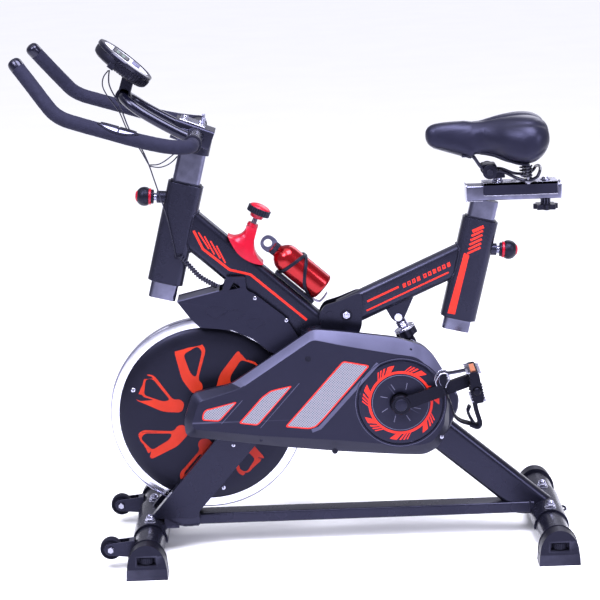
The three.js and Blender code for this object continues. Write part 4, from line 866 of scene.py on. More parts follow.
def flywheel():
    p = Piece("flywheel_disc")
    rim = [
        (182, -8), (187, -12.4), (188.5, -13), (212, -13), (214, -12.4), (215.6, -10.5), (216, -8), (216, 8),
        (215.6, 10.5), (214, 12.4), (212, 13), (188.5, 13), (187, 12.4), (182, 8), (182, -8),
    ]
    p.turned(rim, AXLE, SIDE, IRON, 160)
    web = [(26, -8), (183, -8), (183, 8), (26, 8), (26, -8)]
    p.turned(web, AXLE, SIDE, IRON, 96)
    # Thin grey ring near the rim's outer edge on both faces: painted shade standing in for the edge's dark
    # outline.
    for side in TWO_SIDES:
        p.turned(
            [(212.4, 12.6), (212.4, 13.4), (213.6, 13.2), (213.6, 12.4)], AXLE, (0, side, 0), DECAL_GREY, 160,
        )
    hub = [(0, -30), (20, -30), (24, -28), (26, -24), (26, 24), (24, 28), (20, 30), (0, 30)]
    p.turned(hub, AXLE, SIDE, BRUSHED, 48)
    p.cross(8, AXLE, -90, 60, BRUSHED)
    pulley = [(0, -86), (25.4, -86), (25.4, -84.8), (24, -84.6)]
    for k in range(6):
        y = -84 + 14 * k / 6
        pulley += [(24, y + 0.3), (22.4, y + 1.2), (24, y + 2.1)]
    pulley += [(24, -69.4), (25.4, -69.4), (25.4, -68), (0, -68)]
    p.turned(pulley, AXLE, SIDE, BRUSHED, 64)
    for side in TWO_SIDES:
        p.hexnut(12, at_y(AXLE, side * 52.4), at_y(AXLE, side * 60), ZINC)
    p.done("flywheel", "flywheel", bevel=0, slot="flywheel_iron")


def flywheel_covers():
    for side, name in NAMED_SIDES:
        p = Piece("flywheel_cover_disc_" + name)
        profile = [
            (27, 25.5), (60, 25.6), (120, 25.5), (150, 25.4), (166, 24.4), (178, 22.5), (188, 18.8),
            (194, 15.8), (195, 14.6), (195, 13.4),
        ]
        profile += [(188, 13.4), (150, 22.6), (27, 22.6), (27, 25.5)]
        p.turned(profile, AXLE, (0, side, 0), SATIN, 128)
        for outer, hole in petal_ring():
            place = [[(AXLE[0] - side * x, AXLE[2] + z) for x, z in ring] for ring in (outer, hole)]
            petal(p, *place, side)
        for angle, r in ((159, 172), (-80.5, 172), (39, 172), (-53, 91)):
            x, z = r * math.cos(math.radians(angle)), r * math.sin(math.radians(angle))
            screw(p, AXLE[0] - side * x, AXLE[2] + z, side * cover_y(r), side, CHROME, 5)
        p.done("flywheel", "flywheel_cover_" + name, bevel=0, slot="black_plastic")


def petal(p, outer, hole, side):
    """Decal that follows the dished cover."""
    index = p.look(DECAL_DARK)
    n = len(outer)
    flat = [Vector((x, z, 0)) for x, z in outer + hole]
    lifted = []
    for q in flat:
        r = math.hypot(q.x - AXLE[0], q.y - AXLE[2])
        lifted.append(p.bm.verts.new((q.x, side * (cover_y(r) + 0.35), q.y)))
    for tri in tessellate_polygon([flat[:n], flat[n:]]):
        p.face([lifted[i] for i in tri], index)


def belt_outline(extra):
    a, b = Vector((AXLE[0], AXLE[2])), Vector((CRANK[0], CRANK[2]))
    ra, rb = 24.3 + extra, 86.7 + extra
    heading = math.atan2(b.y - a.y, b.x - a.x)
    spread = math.acos((ra - rb) / (b - a).length)
    out = []
    for centre, r, t0, t1, n in (
        (b, rb, heading - spread, heading + spread, 48),
        (a, ra, heading + spread, heading - spread + TAU, 24),
    ):
        for i in range(n + 1):
            t = t0 + (t1 - t0) * i / n
            out.append((centre.x + r * math.cos(t), centre.y + r * math.sin(t)))
    return out


def drive_belt():
    p = Piece("ribbed_belt")
    p.plate(belt_outline(3.2), -84, -70, RUBBER, holes=[belt_outline(0)])
    p.done("frame", "drive_belt", bevel=0, slot="rubber")


def crank_pulley():
    p = Piece("crank_pulley_wheel")
    r = 86.4
    rim = [(r - 8, -84.5), (r, -84.5), (r, -69.5), (r - 8, -69.5), (r - 8, -84.5)]
    p.turned(rim, CRANK, SIDE, PLASTIC, 96)
    web = [(24, -81), (r - 7, -81), (r - 7, -77), (24, -77), (24, -81)]
    p.turned(web, CRANK, SIDE, PLASTIC, 64)
    p.turned([(0, -84), (24, -84), (24, -68), (0, -68)], CRANK, SIDE, PLASTIC, 48)
    p.cross(8, CRANK, -119, 119, BRUSHED)
    p.done("crank", "crank_pulley", bevel=0.5, slot="steel")


def bottom_bracket():
    p = Piece("bottom_bracket_cartridge")
    p.turned([(8.4, -37), (20, -37), (20, 37), (8.4, 37), (8.4, -37)], CRANK, SIDE, BRUSHED, 48)
    p.done("frame", "bottom_bracket", bevel=0.5, slot="steel")


CRANK_ANGLE = math.atan2(CRANK_END[2] - CRANK[2], CRANK_END[0] - CRANK[0])


def crank_tip(side):
    """Where the crank of a side ends, in the side view's plane."""
    if side < 0:
        return CRANK_END
    return (2 * CRANK[0] - CRANK_END[0], 0, 2 * CRANK[2] - CRANK_END[2])


def crank_outline():
    out = []
    for centre, radius, t0, t1 in ((CRANK, 14, 90, 270), (CRANK_END, 13.2, 270, 450)):
        for i in range(17):
            t = math.radians(t0 + (t1 - t0) * i / 16) + CRANK_ANGLE
            out.append((centre[0] + radius * math.cos(t), centre[2] + radius * math.sin(t)))
    return out


def cranks():
    for side, name in NAMED_SIDES:
        p = Piece("crank_arm_" + name)
        outline = crank_outline()
        if side > 0:
            outline = turned2(outline, 180, (CRANK[0], CRANK[2]))
        end = crank_tip(side)
        p.plate(outline, side * 121, side * 108, CRANK_BLACK)
        p.turned(
            [(0, 102), (21.5, 102), (21.5, 120), (20, 122), (0, 122)], CRANK, (0, side, 0), CRANK_BLACK, 48,
        )
        p.turned(
            [(0, 121), (13.6, 121), (13.2, 123.6), (10.6, 124.8), (0, 125.2)], CRANK, (0, side, 0), PANEL, 40,
        )
        p.cross(6, end, side * 110, side * 222, BRUSHED, 24)
        p.cross(9, end, side * 120, side * 124, SATIN, 32)
        p.hexnut(9, at_y(end, side * 123), at_y(end, side * 128), BRUSHED)
        p.done("crank", "crank_" + name, bevel=1.8, slot="frame_paint", segments=3)


PEDAL_LEAN = 9  # degrees that the pedals lean in the resting pose


def pedals():
    for side, name in NAMED_SIDES:
        cx, _, cz = crank_tip(side)
        p = Piece("pedal_body_" + name)
        p.cross(10.5, (cx, 0, cz), side * 222, side * 129, CRANK_BLACK, 40)
        p.turned(
            [(0, 222), (9, 222), (8.6, 226), (6.5, 228.4), (0, 229)],
            (cx, 0, cz), (0, side, 0), CRANK_BLACK, 32,
        )
        for y0, y1 in ((129, 133), (218, 222)):
            outline = turned2([(cx + a, cz + b) for a, b in end_plate()], PEDAL_LEAN, (cx, cz))
            p.plate(outline, side * y0, side * y1, CRANK_BLACK)
        for low, high in ((-27, -22), (36, 41)):
            beam = box(cx - 9, cz + low, cx + 9, cz + high)
            p.plate(turned2(beam, PEDAL_LEAN, (cx, cz)), side * 220, side * 131, CRANK_BLACK)
        for z in (cz + 38, cz - 24):
            comb(p, cx - math.tan(math.radians(PEDAL_LEAN)) * (z - cz), z, side)
        for low, high in ((40, 43.6), (-29, -26)):
            lens = box(cx - 5.4, cz + low, cx + 5.4, cz + high)
            p.plate(turned2(lens, PEDAL_LEAN, (cx, cz)), side * 206, side * 152, AMBER)
        p.done("pedal_" + name, "pedal_" + name, bevel=0.6, slot="black_plastic")
        toe_cage(cx, cz, side, name)


def end_plate():
    """Outline of a pedal's end plate, its edges serrated beside the axle."""
    edge = [(7, 42), (11, 34), (11, 16)]
    for k in range(6):
        edge += [(14.5, 13 - k * 6), (11, 10 - k * 6)]
    edge += [(9, -27)]
    return edge + [(-x, z) for x, z in edge[::-1]]


def comb(p, cx, z, side):
    """Steel cleat whose teeth stand out along both long edges."""
    row = []
    for k in range(8):
        y = 135 + 11 * k
        row += [(11, y), (16.5, y + 3), (16.5, y + 5), (11, y + 8)]
    outline = row + [(-x, y) for x, y in row[::-1]]
    p.rings([[Vector((cx + x, side * y, z + h)) for x, y in outline] for h in (0, 2)], BRUSHED)


def toe_cage(cx, cz, side, name):
    p = Piece("toe_cage_frame_" + name)
    cage = [
        (-4, -26), (1, -52), (8, -82), (3, -87.5), (-12, -82), (-34, -74), (-46, -62), (-54, -36), (-62, -16),
        (-69, 1),
    ]
    for y in (167, 178, 189):
        dense = smooth([(cx + a, side * y, cz + b) for a, b in cage], 6)
        p.tube(dense, 0, CRANK_BLACK, flat=round_rect(4.8, 5.4, 1.4, 3))
    front = smooth([(cx + a, side * 178, cz + b) for a, b in cage[:5]], 6)
    p.tube(front, 0, CRANK_BLACK, flat=round_rect(10, 27, 2.4, 3))
    claw = smooth(
        [(cx + a, side * 178, cz + b) for a, b in ((-13, -42), (-17, -54), (-12, -68), (-4, -82))], 5,
    )
    p.tube(claw, 0, CRANK_BLACK, flat=round_rect(6.4, 20, 1.6, 3))
    for k in (2, 4, 5, 6, 8):
        a, b = cage[k]
        p.tube([(cx + a, side * 165, cz + b), (cx + a, side * 191, cz + b)], 2.4, CRANK_BLACK, 10)
    strap_line = [(-69, 1), (-76, 12), (-77, 24), (-69, 32), (-56, 31), (-36, 33.5), (-12, 38)]
    line = smooth([(cx + a, side * 178, cz + b) for a, b in strap_line], 8)
    p.tube(line, 0, WEBBING, flat=round_rect(2.2, 24, 0.8, 2))
    for y in (166, 190):
        p.tube([(q.x - 0.2, side * y, q.z + 0.6) for q in line[4:-4]], 0.5, DECAL_GREY, 6)
    block = [(-82, 10), (-78, 26), (-68, 30), (-60, 27), (-63, 8), (-70, 3)]
    p.plate(rounded([(cx + a, cz + b) for a, b in block], 3), side * 189.5, side * 166.5, CRANK_BLACK)
    for loop in (
        ((-83, 8), (-85, 16), (-74, 33), (-61, 33), (-60, 27)), ((-64, 3), (-61, 12), (-55, 22), (-58, 31)),
    ):
        for y in (163.6, 192.4):
            p.tube(smooth([(cx + a, side * y, cz + b) for a, b in loop], 5), 1.3, BRUSHED, 10)
        for a, b in loop[::2]:
            p.tube([(cx + a, side * 163.6, cz + b), (cx + a, side * 192.4, cz + b)], 1.3, BRUSHED, 10)
    p.done("pedal_" + name, "toe_cage_" + name, bevel=0.4, slot="black_plastic")


# ---------- guards ----------
GUARD_SEAM = [
    (-260.4, 270), (-263.1, 306.5), (-242, 366.7), (-157, 383.9), (23.6, 500.4), (84.2, 493.7),
    (203.1, 475.9), (241.9, 463.3), (261.3, 455.9), (282.6, 437.2), (302, 405), (318.6, 345), (316, 270),
    (293, 226), (262.2, 209.5), (202.9, 212.8), (76, 224), (-55.5, 239.6),
]
GUARD_FACE = [
    (-243, 289.6), (-246.5, 305), (-229, 352.1), (-137.1, 379), (23.8, 483.5), (88, 468), (205, 444),
    (244.3, 437.5), (262, 425.7), (279, 402.7), (296, 372), (310, 335), (305, 280.4), (280, 243),
    (250.4, 234.9), (206.7, 236.5), (76.1, 252.7), (-98, 269.4),
]
BACK_SHELL = [
    (96, 482), (203, 463), (258, 453), (277, 437), (300, 404), (314, 380), (341, 331.6),
    (338, 305), (331.8, 293.4), (318.2, 262), (292, 226), (262.2, 211), (210, 214), (120, 300),
]
GREY_PANELS = [
    [(-222.7, 310.2), (-219.8, 327), (-212.9, 334.6), (-202, 336.5), (-143.7, 350.1), (-184.7, 306.5)],
    [(-143.6, 300.5), (-90.2, 358.2), (-72.3, 371), (-61.3, 374), (-23, 381.5), (-101.4, 294.4)],
    [(-42.7, 288.8), (88.2, 432.2), (146.3, 420), (40.6, 301.5), (24.8, 286.3), (9.4, 282.4)],
]
PANEL_LINES = [
    [(-133, 352), (-181, 300.5)],
    [(-8, 386), (-96, 288.5)],
]
FACE_Y = -98


def chain_guard():
    p = Piece("chain_guard_shell")
    seam = rounded(GUARD_SEAM, 14, 5)
    face = rounded(GUARD_FACE, 12, 5)
    lip = rounded(inset(GUARD_FACE, 1.6), 11, 5)
    p.rings([ring_at(seam, -66), ring_at(seam, -79)], PANEL, caps=False)
    # The bevel ring is made in the paler look, then its down-facing and front flanks get the darker look:
    # painted light and shade.
    p.rings([ring_at(seam, -79), ring_at(face, -97.2), ring_at(lip, FACE_Y)], BEVEL, caps=False)
    paint_flank_light_and_shade(p, BEVEL, PANEL)
    groove = circle_at(CRANK, 95, 96)
    p.plate(lip, FACE_Y, FACE_Y + 1.2, PANEL, holes=[groove])
    p.plate(seam, -66, -67.5, PANEL, holes=[circle_at(CRANK, 30, 40)])
    disc(p)
    for outline in GREY_PANELS:
        grey_panel(p, outline)
    for line in PANEL_LINES:
        p.plate(band(line, 1.1), FACE_Y - 0.3, FACE_Y, BEVEL)
    recess = [(163.8, 423.8), (33.4, 283.7), (15.8, 277.6)]
    p.plate(band(recess, 8), FACE_Y - 0.35, FACE_Y, BEVEL)
    for x, z in ((12.6, 439.4), (64.5, 230.4)):
        p.turned(
            [(0, 0), (6.6, 0), (6.6, 0.5), (5.4, 0.9), (5, 0.3), (0, 0.3)],
            (x, FACE_Y, z), (0, -1, 0), RUBBER, 24,
        )
    for x, z in ((15, 470), (236, 449), (-96, 258)):
        screw(p, x, z, -88, -1, PLASTIC, 3.6)
    screw(p, 299, 252, -92.4, -1, CHROME, 4.4)
    p.done("frame", "chain_guard", bevel=0.9, slot="black_plastic", angle=26, segments=3)


def paint_flank_light_and_shade(p, light, dark):
    """Painted light and shade: the flanks that look down or forwards get the darker look as painted shade,
    the others keep the paler look as a painted highlight.
    """
    p.bm.normal_update()
    pale, deep = p.look(light), p.look(dark)
    middle_z, nose_z = 345, 384
    for f in p.bm.faces:
        if f.material_index != pale:
            continue
        c = f.calc_center_median()
        rise = abs(f.normal.z) * math.copysign(1, c.z - middle_z)
        if rise < 0.08 or (c.x < 0 and c.z < nose_z):
            f.material_index = deep


def grey_panel(p, outline):
    """Grey mesh inlay with a red rim."""
    shape = rounded(outline, 7, 5)
    inner = rounded(inset(outline, 2.4), 5, 5)
    p.plate(shape, FACE_Y - 0.9, FACE_Y, DECAL, holes=[inner])
    p.plate(inner, FACE_Y - 0.5, FACE_Y, MESH)


def disc(p):
    """Round crank cover with its red ring, fins and ticks."""
    out = (0, -1, 0)
    rise = -FACE_Y
    dish = [
        (21.5, rise - 3), (24, rise + 0.6), (30, rise + 1.2), (60, rise + 1.2), (64, rise + 0.8),
        (88, rise + 0.8),
        (91.5, rise + 0.2), (93, rise - 2.6), (95, rise - 2.8), (96.5, rise - 0.4), (99, rise + 0.6),
        (101, rise),
    ]
    p.turned(dish, CRANK, out, PANEL, 128)
    level = rise + 1.25
    p.turned(
        [(65, level - 1), (65, level + 0.2), (70.4, level + 0.2), (70.4, level - 1)], CRANK, out, DECAL, 128,
    )
    p.turned(
        [(61, level - 1), (61, level + 0.1), (62, level + 0.1), (62, level - 1)], CRANK, out, DECAL_GREY, 128,
    )
    p.turned(
        [(97.4, level - 2), (97.4, level - 0.5), (98.6, level - 0.5), (98.6, level - 2)],
        CRANK, out, BEVEL, 128,
    )
    for i in range(7):
        start = 115 - i * 360 / 7
        for offset, width in ((0, 14), (10.5, 4.4), (16, 3.6), (21, 2.8)):
            fin(p, start - 3 + offset, width, level)
    for i in range(8):
        t = math.radians(22.5 + 45 * i)
        d, s = Vector((math.cos(t), math.sin(t))), Vector((-math.sin(t), math.cos(t)))
        c = Vector((CRANK[0], CRANK[2]))
        tick = [c + d * 31 + s * 0.7, c + d * 46 + s * 3.2, c + d * 46 + s * 1.8, c + d * 31 - s * 0.7]
        p.plate(tick, -level - 0.3, -level + 1, DECAL_GREY)


def fin(p, degrees, width, level):
    """Slanted red bar between the ring and the disc's edge."""
    half = math.degrees(width / 2 / 77)
    ends = []
    for r, lean in ((70, 0), (84, -9)):
        row = []
        for k in range(5):
            t = math.radians(degrees + lean - half + 2 * half * k / 4)
            row.append((CRANK[0] + r * math.cos(t), CRANK[2] + r * math.sin(t)))
        ends.append(row)
    p.plate(ends[0] + ends[1][::-1], -level + 0.25, -level + 1.2, DECAL)


def chain_guard_back():
    p = Piece("chain_guard_back_shell")
    skin = rounded(inset(GUARD_SEAM, 0.5), 13, 5)
    crank_hole = circle_at(CRANK, 28, 40)
    axle_hole = circle_at(AXLE, 14, 32)
    p.plate(skin, -65.7, -62.7, PANEL, holes=[crank_hole, axle_hole])
    shell = rounded(BACK_SHELL, 10, 5)
    low = rounded(inset(BACK_SHELL, 3), 9, 5)
    face = rounded(inset(BACK_SHELL, 8), 8, 5)
    p.plate(low, -65.4, -64.4, PANEL, holes=[crank_hole])
    rows = [
        ring_at(low, -65.2), ring_at(shell, -61), ring_at(shell, -34), ring_at(low, -28), ring_at(face, -26),
    ]
    # The bevel ring is made in the paler look, then its down-facing and front flanks get the darker look:
    # painted light and shade.
    p.rings(rows, BEVEL, caps=False)
    paint_flank_light_and_shade(p, BEVEL, PANEL)
    p.plate(face, -26.4, -26, PANEL, holes=[crank_hole])
    p.done("frame", "chain_guard_back", bevel=0.8, slot="black_plastic", angle=26)


GUARD_SIDE = [
    (-268.4, 562.1), (-235.4, 518.4), (-220.9, 502.1), (-196, 500), (-150, 494), (-108, 474), (-69.9, 442.5),
    (-46, 432), (-6, 472), (-34, 520), (-98.9, 574), (-116, 583), (-118, 613), (-160, 614), (-168, 584),
    (-175.8, 583.2),
]


def flywheel_guard():
    p = Piece("flywheel_guard_shell")
    side_line = rounded(GUARD_SIDE, 6, 4)
    window = rounded([(-154, 584), (-128, 588), (-140, 606)], 3, 4)
    for side in TWO_SIDES:
        holes = [window] if side < 0 else []
        p.plate(side_line, side * 34.2, side * 31.2, PANEL, holes=holes)
        swoosh(p, side)
        for x, z in ((-98.2, 570.2 - 6), (-31.4, 512)):
            screw(p, x, z, side * 34.2, side, CHROME, 4.6)
    ridge = [(-268.4, 562.1), (-175.8, 583.2), (-118, 590), (-100, 575)]
    under = [(-102, 571.5), (-119, 586.6), (-175.8, 579.8), (-266, 558.4)]
    p.plate(ridge[:2] + under[2:], -34, 34, PANEL)
    nose = [(-268.4, 562.1), (-264.6, 561.5), (-236, 523.5), (-239, 521)]
    p.plate(nose, -34, 34, PANEL)
    # Pale line along both top edges: a painted highlight.
    rim = [(-268, -34, 562.5), (-222, -34.1, 573), (-176, -34.1, 583.4)]
    p.tube(smooth(rim, 6), 1.3, BEVEL, 8)
    p.tube(smooth(mirrored(rim), 6), 1.3, BEVEL, 8)
    p.done("frame", "flywheel_guard", bevel=0.8, slot="black_plastic")


def swoosh(p, side):
    """Embossed outline of three leaning strokes, in place of a printed mark."""
    for x, z, k in ((-212, 541, 1.0), (-171, 533, 0.92), (-124, 512, 0.85)):
        shape = [(0, 0), (18, 9), (44, 8), (58, -6), (40, -12), (30, -22), (12, -14)]
        place = [(x + a * k, z + b * k) for a, b in shape]
        outer = rounded(place, 5, 5)
        inner = rounded(inset(place, 1.5), 4, 5)
        p.plate(outer, side * 34.0, side * 34.7, PANEL, holes=[inner])


# ---------- friction brake ----------
MOUNT_OUTLINE = [
    (-152.1, 701.6), (-137.4, 698.6), (-123.1, 702.3), (-114.1, 711), (-110, 719.7), (-98, 718.6),
    (-87.6, 714.6), (-91.8, 704.6), (-95.5, 687.1), (-95.1, 669.4), (-89, 652.5), (-81.4, 641.4),
    (-77, 635.9), (-93.9, 638.3), (-114.5, 647.9), (-131.9, 663), (-145.1, 685.2), (-152.1, 701.6),
]
MOUNT_SKIRT = [
    (-152.1, 701), (-141, 694), (-129, 686), (-120, 679), (-114, 674), (-109, 670), (-104, 666), (-100, 662),
    (-96, 658), (-92, 653.5), (-87, 648), (-81.4, 641), (-77, 635.9), (-93.9, 638.3), (-114.5, 647.9),
    (-131.9, 663), (-145.1, 685.2), (-152.1, 701),
]


def rod_point(d):
    return along(ROD_TOP, ROD_AXIS, d)


def brake_mount():
    p = Piece("brake_mount_shell")
    rows = []
    full = smooth([(x, z, 0) for x, z in MOUNT_OUTLINE], 6)
    low = smooth([(x, z, 0) for x, z in MOUNT_SKIRT], 6)
    for y, share in ((-24.6, 1), (-24, 0.94), (-21, 0.62), (-17, 0.3), (-14, 0.1), (-11.5, 0)):
        rows.append(ring_at([a.lerp(b, share) for a, b in zip(full, low)], y))
    rows += [mirrored(ring) for ring in rows[::-1]]
    p.rings(rows, RED)
    p.rod(13, rod_point(-24), rod_point(-16.6), RED, 40, end=11.5)
    p.done("frame", "brake_mount", bevel=1.2, slot="red_plastic", segments=3)


def brake_rod():
    p = Piece("brake_rod_shaft")
    profile = [(0, -224), (5.2, -224)]
    for k in range(34):
        d = -58 + k * 1.6
        profile += [(5.9, d), (5.2, d + 0.8)]
    profile += [(5.2, -2.2), (0, -2.2)]
    p.turned(profile, ROD_TOP, ROD_AXIS, ZINC, 24)
    p.bar(round_rect(52, 24, 3), rod_point(-231), rod_point(-223), ROD_ACROSS, ZINC)
    p.hexnut(9, rod_point(-223), rod_point(-216), BRUSHED)
    p.done("brake", "brake_rod", bevel=0, slot="steel")


def brake_pad():
    """Felt block whose face follows the flywheel's rim."""
    p = Piece("brake_pad_block")
    x, y, z = vec(ROD_ACROSS), vec(SIDE), vec(ROD_AXIS)
    rows = []
    for v in (-12, 12):
        ring = [rod_point(-231.3) + x * u + y * v for u in (26, -26)]
        for k in range(17):
            u = -26 + 52 * k / 16
            q = rod_point(-257) + x * u
            d = Vector((q.x - AXLE[0], 0, q.z - AXLE[2]))
            lift = max(0.0, 220.4 - d.length)
            ring.append(q + z * lift + y * v)
        rows.append(ring)
    p.rings(rows, FELT)
    p.done("brake", "brake_pad", bevel=0.8, slot="felt")


def brake_knob():
    p = Piece("brake_knob_turned")
    p.turned([(0, -4), (12.5, -4), (14, -3), (15.4, 2), (16, 5), (17, 7), (0, 7)], ROD_TOP, ROD_AXIS, RED, 64)
    p.bar(wavy(25, 0.9, 28, 224), rod_point(6), rod_point(20), SIDE, PLASTIC)
    p.turned(
        [(0, 19), (23.6, 19.6), (22.6, 22), (19, 24.4), (13, 26.6), (7, 27.6), (0, 28)],
        ROD_TOP, ROD_AXIS, RED, 64,
    )
    p.done("brake_knob", "brake_knob", bevel=0.7, slot="red_plastic")


# ---------- bottle ----------
def bottle_point(d):
    return along(BOTTLE_FOOT, BOTTLE_AXIS, d)


def strap(p, line, centre, axis, width, thickness):
    """Flat strap along line that lies on the round surface about an axis through centre."""
    rows = []
    for i, q in enumerate(line):
        d = (line[min(i + 1, len(line) - 1)] - line[max(i - 1, 0)]).normalized()
        out = (q - centre) - axis * (q - centre).dot(axis)
        out = (out - d * out.dot(d)).normalized()
        across = d.cross(out)
        rows.append([q + across * u + out * v for u, v in round_rect(width, thickness, 0.9, 3)])
    p.rings(rows, PLASTIC)


def bottle():
    p = Piece("bottle_body")
    profile = [
        (0, 2), (22, 2), (25, 0.4), (27.5, 0.6), (29.8, 2.4), (30.8, 5), (31, 8), (31, 104), (30.6, 108),
        (29, 113), (26, 118.5), (21.5, 123.5), (17, 127), (14.6, 129), (13.4, 131), (13, 133), (13, 144),
        (0, 144),
    ]
    p.turned(profile, BOTTLE_FOOT, BOTTLE_AXIS, BOTTLE, 96)
    p.turned([(14, 129.2), (15.4, 129.8), (15.4, 131), (13, 131.4)], BOTTLE_FOOT, BOTTLE_AXIS, BOTTLE, 64)
    p.done("bottle", "bottle", bevel=0, slot="bottle_red")


def bottle_cap():
    p = Piece("bottle_lid")
    x, y, _ = turn_axes(BOTTLE_AXIS)
    rows = []
    for r, h in ((0, 131.8), (14.4, 131.8), (15, 132.6), (15, 140.6), (14, 142), (12, 142.8), (0, 143)):
        ring = []
        for k in range(96):
            t = TAU * k / 96
            grip = 0.45 * math.cos(24 * t) if 132 < h < 146 else 0
            ring.append(bottle_point(h) + (x * math.cos(t) + y * math.sin(t)) * max(0, r + grip - 0.45))
        rows.append(ring)
    p.rings(rows, PLASTIC, caps=False)
    tab = [
        (139, -14), (148, -17.4), (161, -17), (170, -11), (173, 0), (170, 11), (161, 17), (148, 17.4),
        (139, 14),
    ]
    outline = [bottle_point(d) + BOTTLE_UP * w for d, w in tab]
    hole = [bottle_point(156.6) + vec(BOTTLE_AXIS) * a + BOTTLE_UP * b for a, b in circle(9.2, 40)]
    outline = rounded([(q.x, q.z) for q in outline], 6)
    p.plate(outline, -4.2, 4.2, PANEL, holes=[[(q.x, q.z) for q in hole]])
    p.done("bottle_cap", "bottle_cap", bevel=0, slot="black_plastic")


def bottle_cage():
    p = Piece("bottle_cage_frame")
    up = BOTTLE_UP
    p.bar(
        round_rect(20, 7.6, 1.4), bottle_point(-4) - up * 37.6, bottle_point(102) - up * 37.6, SIDE, PLASTIC,
    )
    arms = (
        ((99, 14), (97, 24), (93, 55), (89, 90), (83, 130), (78, 165), (77, 180)),
        ((77, 180), (75, 166), (66, 130), (54, 95), (36, 55), (12, 22), (2, 12)),
    )
    for side in TWO_SIDES:
        for arm in arms:
            line = []
            for d, t in arm:
                t = math.radians(t)
                line.append(bottle_point(d) + (Vector(SIDE) * side * math.sin(t) - up * math.cos(t)) * 33.4)
            strap(p, smooth(line, 8), bottle_point(0), vec(BOTTLE_AXIS), 7.4, 2.6)
    wire = [bottle_point(d) + up * w for d, w in ((6, -34), (-2, -32), (-14, -27), (-15.4, -14), (-14, -2))]
    for y in (-7, 7):
        p.tube([q + Vector((0, y, 0)) for q in smooth(wire, 8)], 1.5, CHROME, 12)
    p.cross(1.5, wire[-1], -8, 8, CHROME, 12)
    for d in (30, 66):
        p.rod(4.5, bottle_point(d) - up * 42, bottle_point(d) - up * 36.6, ZINC, 20)
    p.done("frame", "bottle_cage", bevel=0.5, slot="black_plastic")


# ---------- handlebar ----------
BAR_LINE = [
    (-573, -160, 1106), (-535.4, -180, 1057.5), (-510, -196.5, 1025), (-494, -204, 1006.5),
    (-474, -210, 993.5), (-440, -213.5, 981.5), (-398.8, -215, 968.5), (-317.7, -215, 943),
    (-262, -214, 929.5), (-232, -207, 925.5), (-216, -191, 925), (-213, -170, 925), (-213, -150, 925),
]
STAND_LINE = [
    (-222, -58, 924), (-246, -57, 936), (-285, -55, 958), (-325, -51, 983), (-348, -44, 1000),
    (-360, -30, 1009.5), (-364, -14, 1012), (-364, 0, 1012),
]
STEM_AXIS = Vector((0.93, 0, -0.367))
STEM_UP = Vector((0.367, 0, 0.93))


def head_post():
    p = Piece("handlebar_post_tube")
    flat_post(p, HEAD_BOTTOM, HEAD_TOP, 37, 84, -1, (12, 34, 56))
    p.done("handlebar", "handlebar_post", bevel=0.6, slot="chrome")


def handlebar():
    p = Piece("handlebar_frame")
    line = smooth(BAR_LINE, 10)
    for points in (line, mirrored(line)):
        p.tube(points, 12.5, GLOSS, 32)
    p.cross(17, CROSSBAR, -158, 158, FRAME, 48)
    for side in TWO_SIDES:
        p.turned(
            [(15, 156), (18.6, 157), (19.4, 159), (19.4, 163), (18.6, 165), (15, 166)],
            CROSSBAR, (0, side, 0), RUBBER, 48,
        )
        bead(p, ring_at(circle_at(CROSSBAR, 17.2, 60), side * 38.6), 2.1, loop=True)
    stem_block(p)
    half = smooth(STAND_LINE, 10)
    whole = half + mirrored(half)[::-1][1:]
    p.tube(whole, 11, GLOSS, 32)
    p.done("handlebar", "handlebar", bevel=0.6, slot="frame_paint")


def stem_block(p):
    front, rear = along(CROSSBAR, STEM_AXIS, -50), along(CROSSBAR, STEM_AXIS, 38)
    p.bar(round_rect(44, 76, 7), front, rear, UP, FRAME)
    p.oval(72, 46, along(HEAD_TOP, HEAD_AXIS, 70), along(HEAD_TOP, HEAD_AXIS, 101), ALONG_X, FRAME, 15)
    top = Vector((-216, 0, 951))
    p.bar(round_rect(4.6, 70, 2), top - STEM_AXIS * 30, top + STEM_AXIS * 27, UP, BRUSHED)
    for side in TWO_SIDES:
        for d in (-20, 17):
            base = top + STEM_AXIS * d + Vector((0, side * 25, 0))
            p.turned([(0, 2), (7, 2), (7, 3), (5.6, 5.4), (0, 6)], base, STEM_UP, CHROME, 24)
            p.turned([(0, 5.8), (2.6, 5.8), (2.6, 6.3), (0, 6.3)], base, STEM_UP, GLOSS, 6)
    pin = Vector((-194, -8, 948))
    p.rod(3.4, pin, pin + Vector((1, 0, 20)), CHROME, 20)
    p.rod(5.2, pin + Vector((0, 0, 5)), pin + Vector((0.4, 0, 11)), CHROME, 24)
    # Paler plates on the front part of the block's sides: a painted highlight.
    for side in TWO_SIDES:
        p.plate(
            rounded([(-254, 946), (-252, 918), (-222, 907), (-218, 938)], 4), side * 38, side * 38.5, BEVEL,
        )


def grips():
    line = smooth(BAR_LINE, 10)
    length = [0.0]
    for a, b in zip(line, line[1:]):
        length.append(length[-1] + (b - a).length)
    foam_line = [q for q, d in zip(line, length) if d <= length[-1] - 12]
    for side, name in NAMED_SIDES:
        points = foam_line if side < 0 else mirrored(foam_line)
        p = Piece("foam_grip_" + name)
        dense = []
        for a, b in zip(points, points[1:]):
            dense += [a, a.lerp(b, 0.5)]
        dense = dense[2:] + [points[-1]]
        radii = [15.1 + 0.16 * math.sin(i * 0.9) * math.sin(i * 0.37) for i in range(len(dense))]
        radii[0], radii[-1] = 14.4, 14.2
        p.tube(dense, radii, FOAM, 40)
        obj = p.done("handlebar", "grip_" + name, bevel=0.8, slot="black_foam", segments=3)
        plug(points, name)


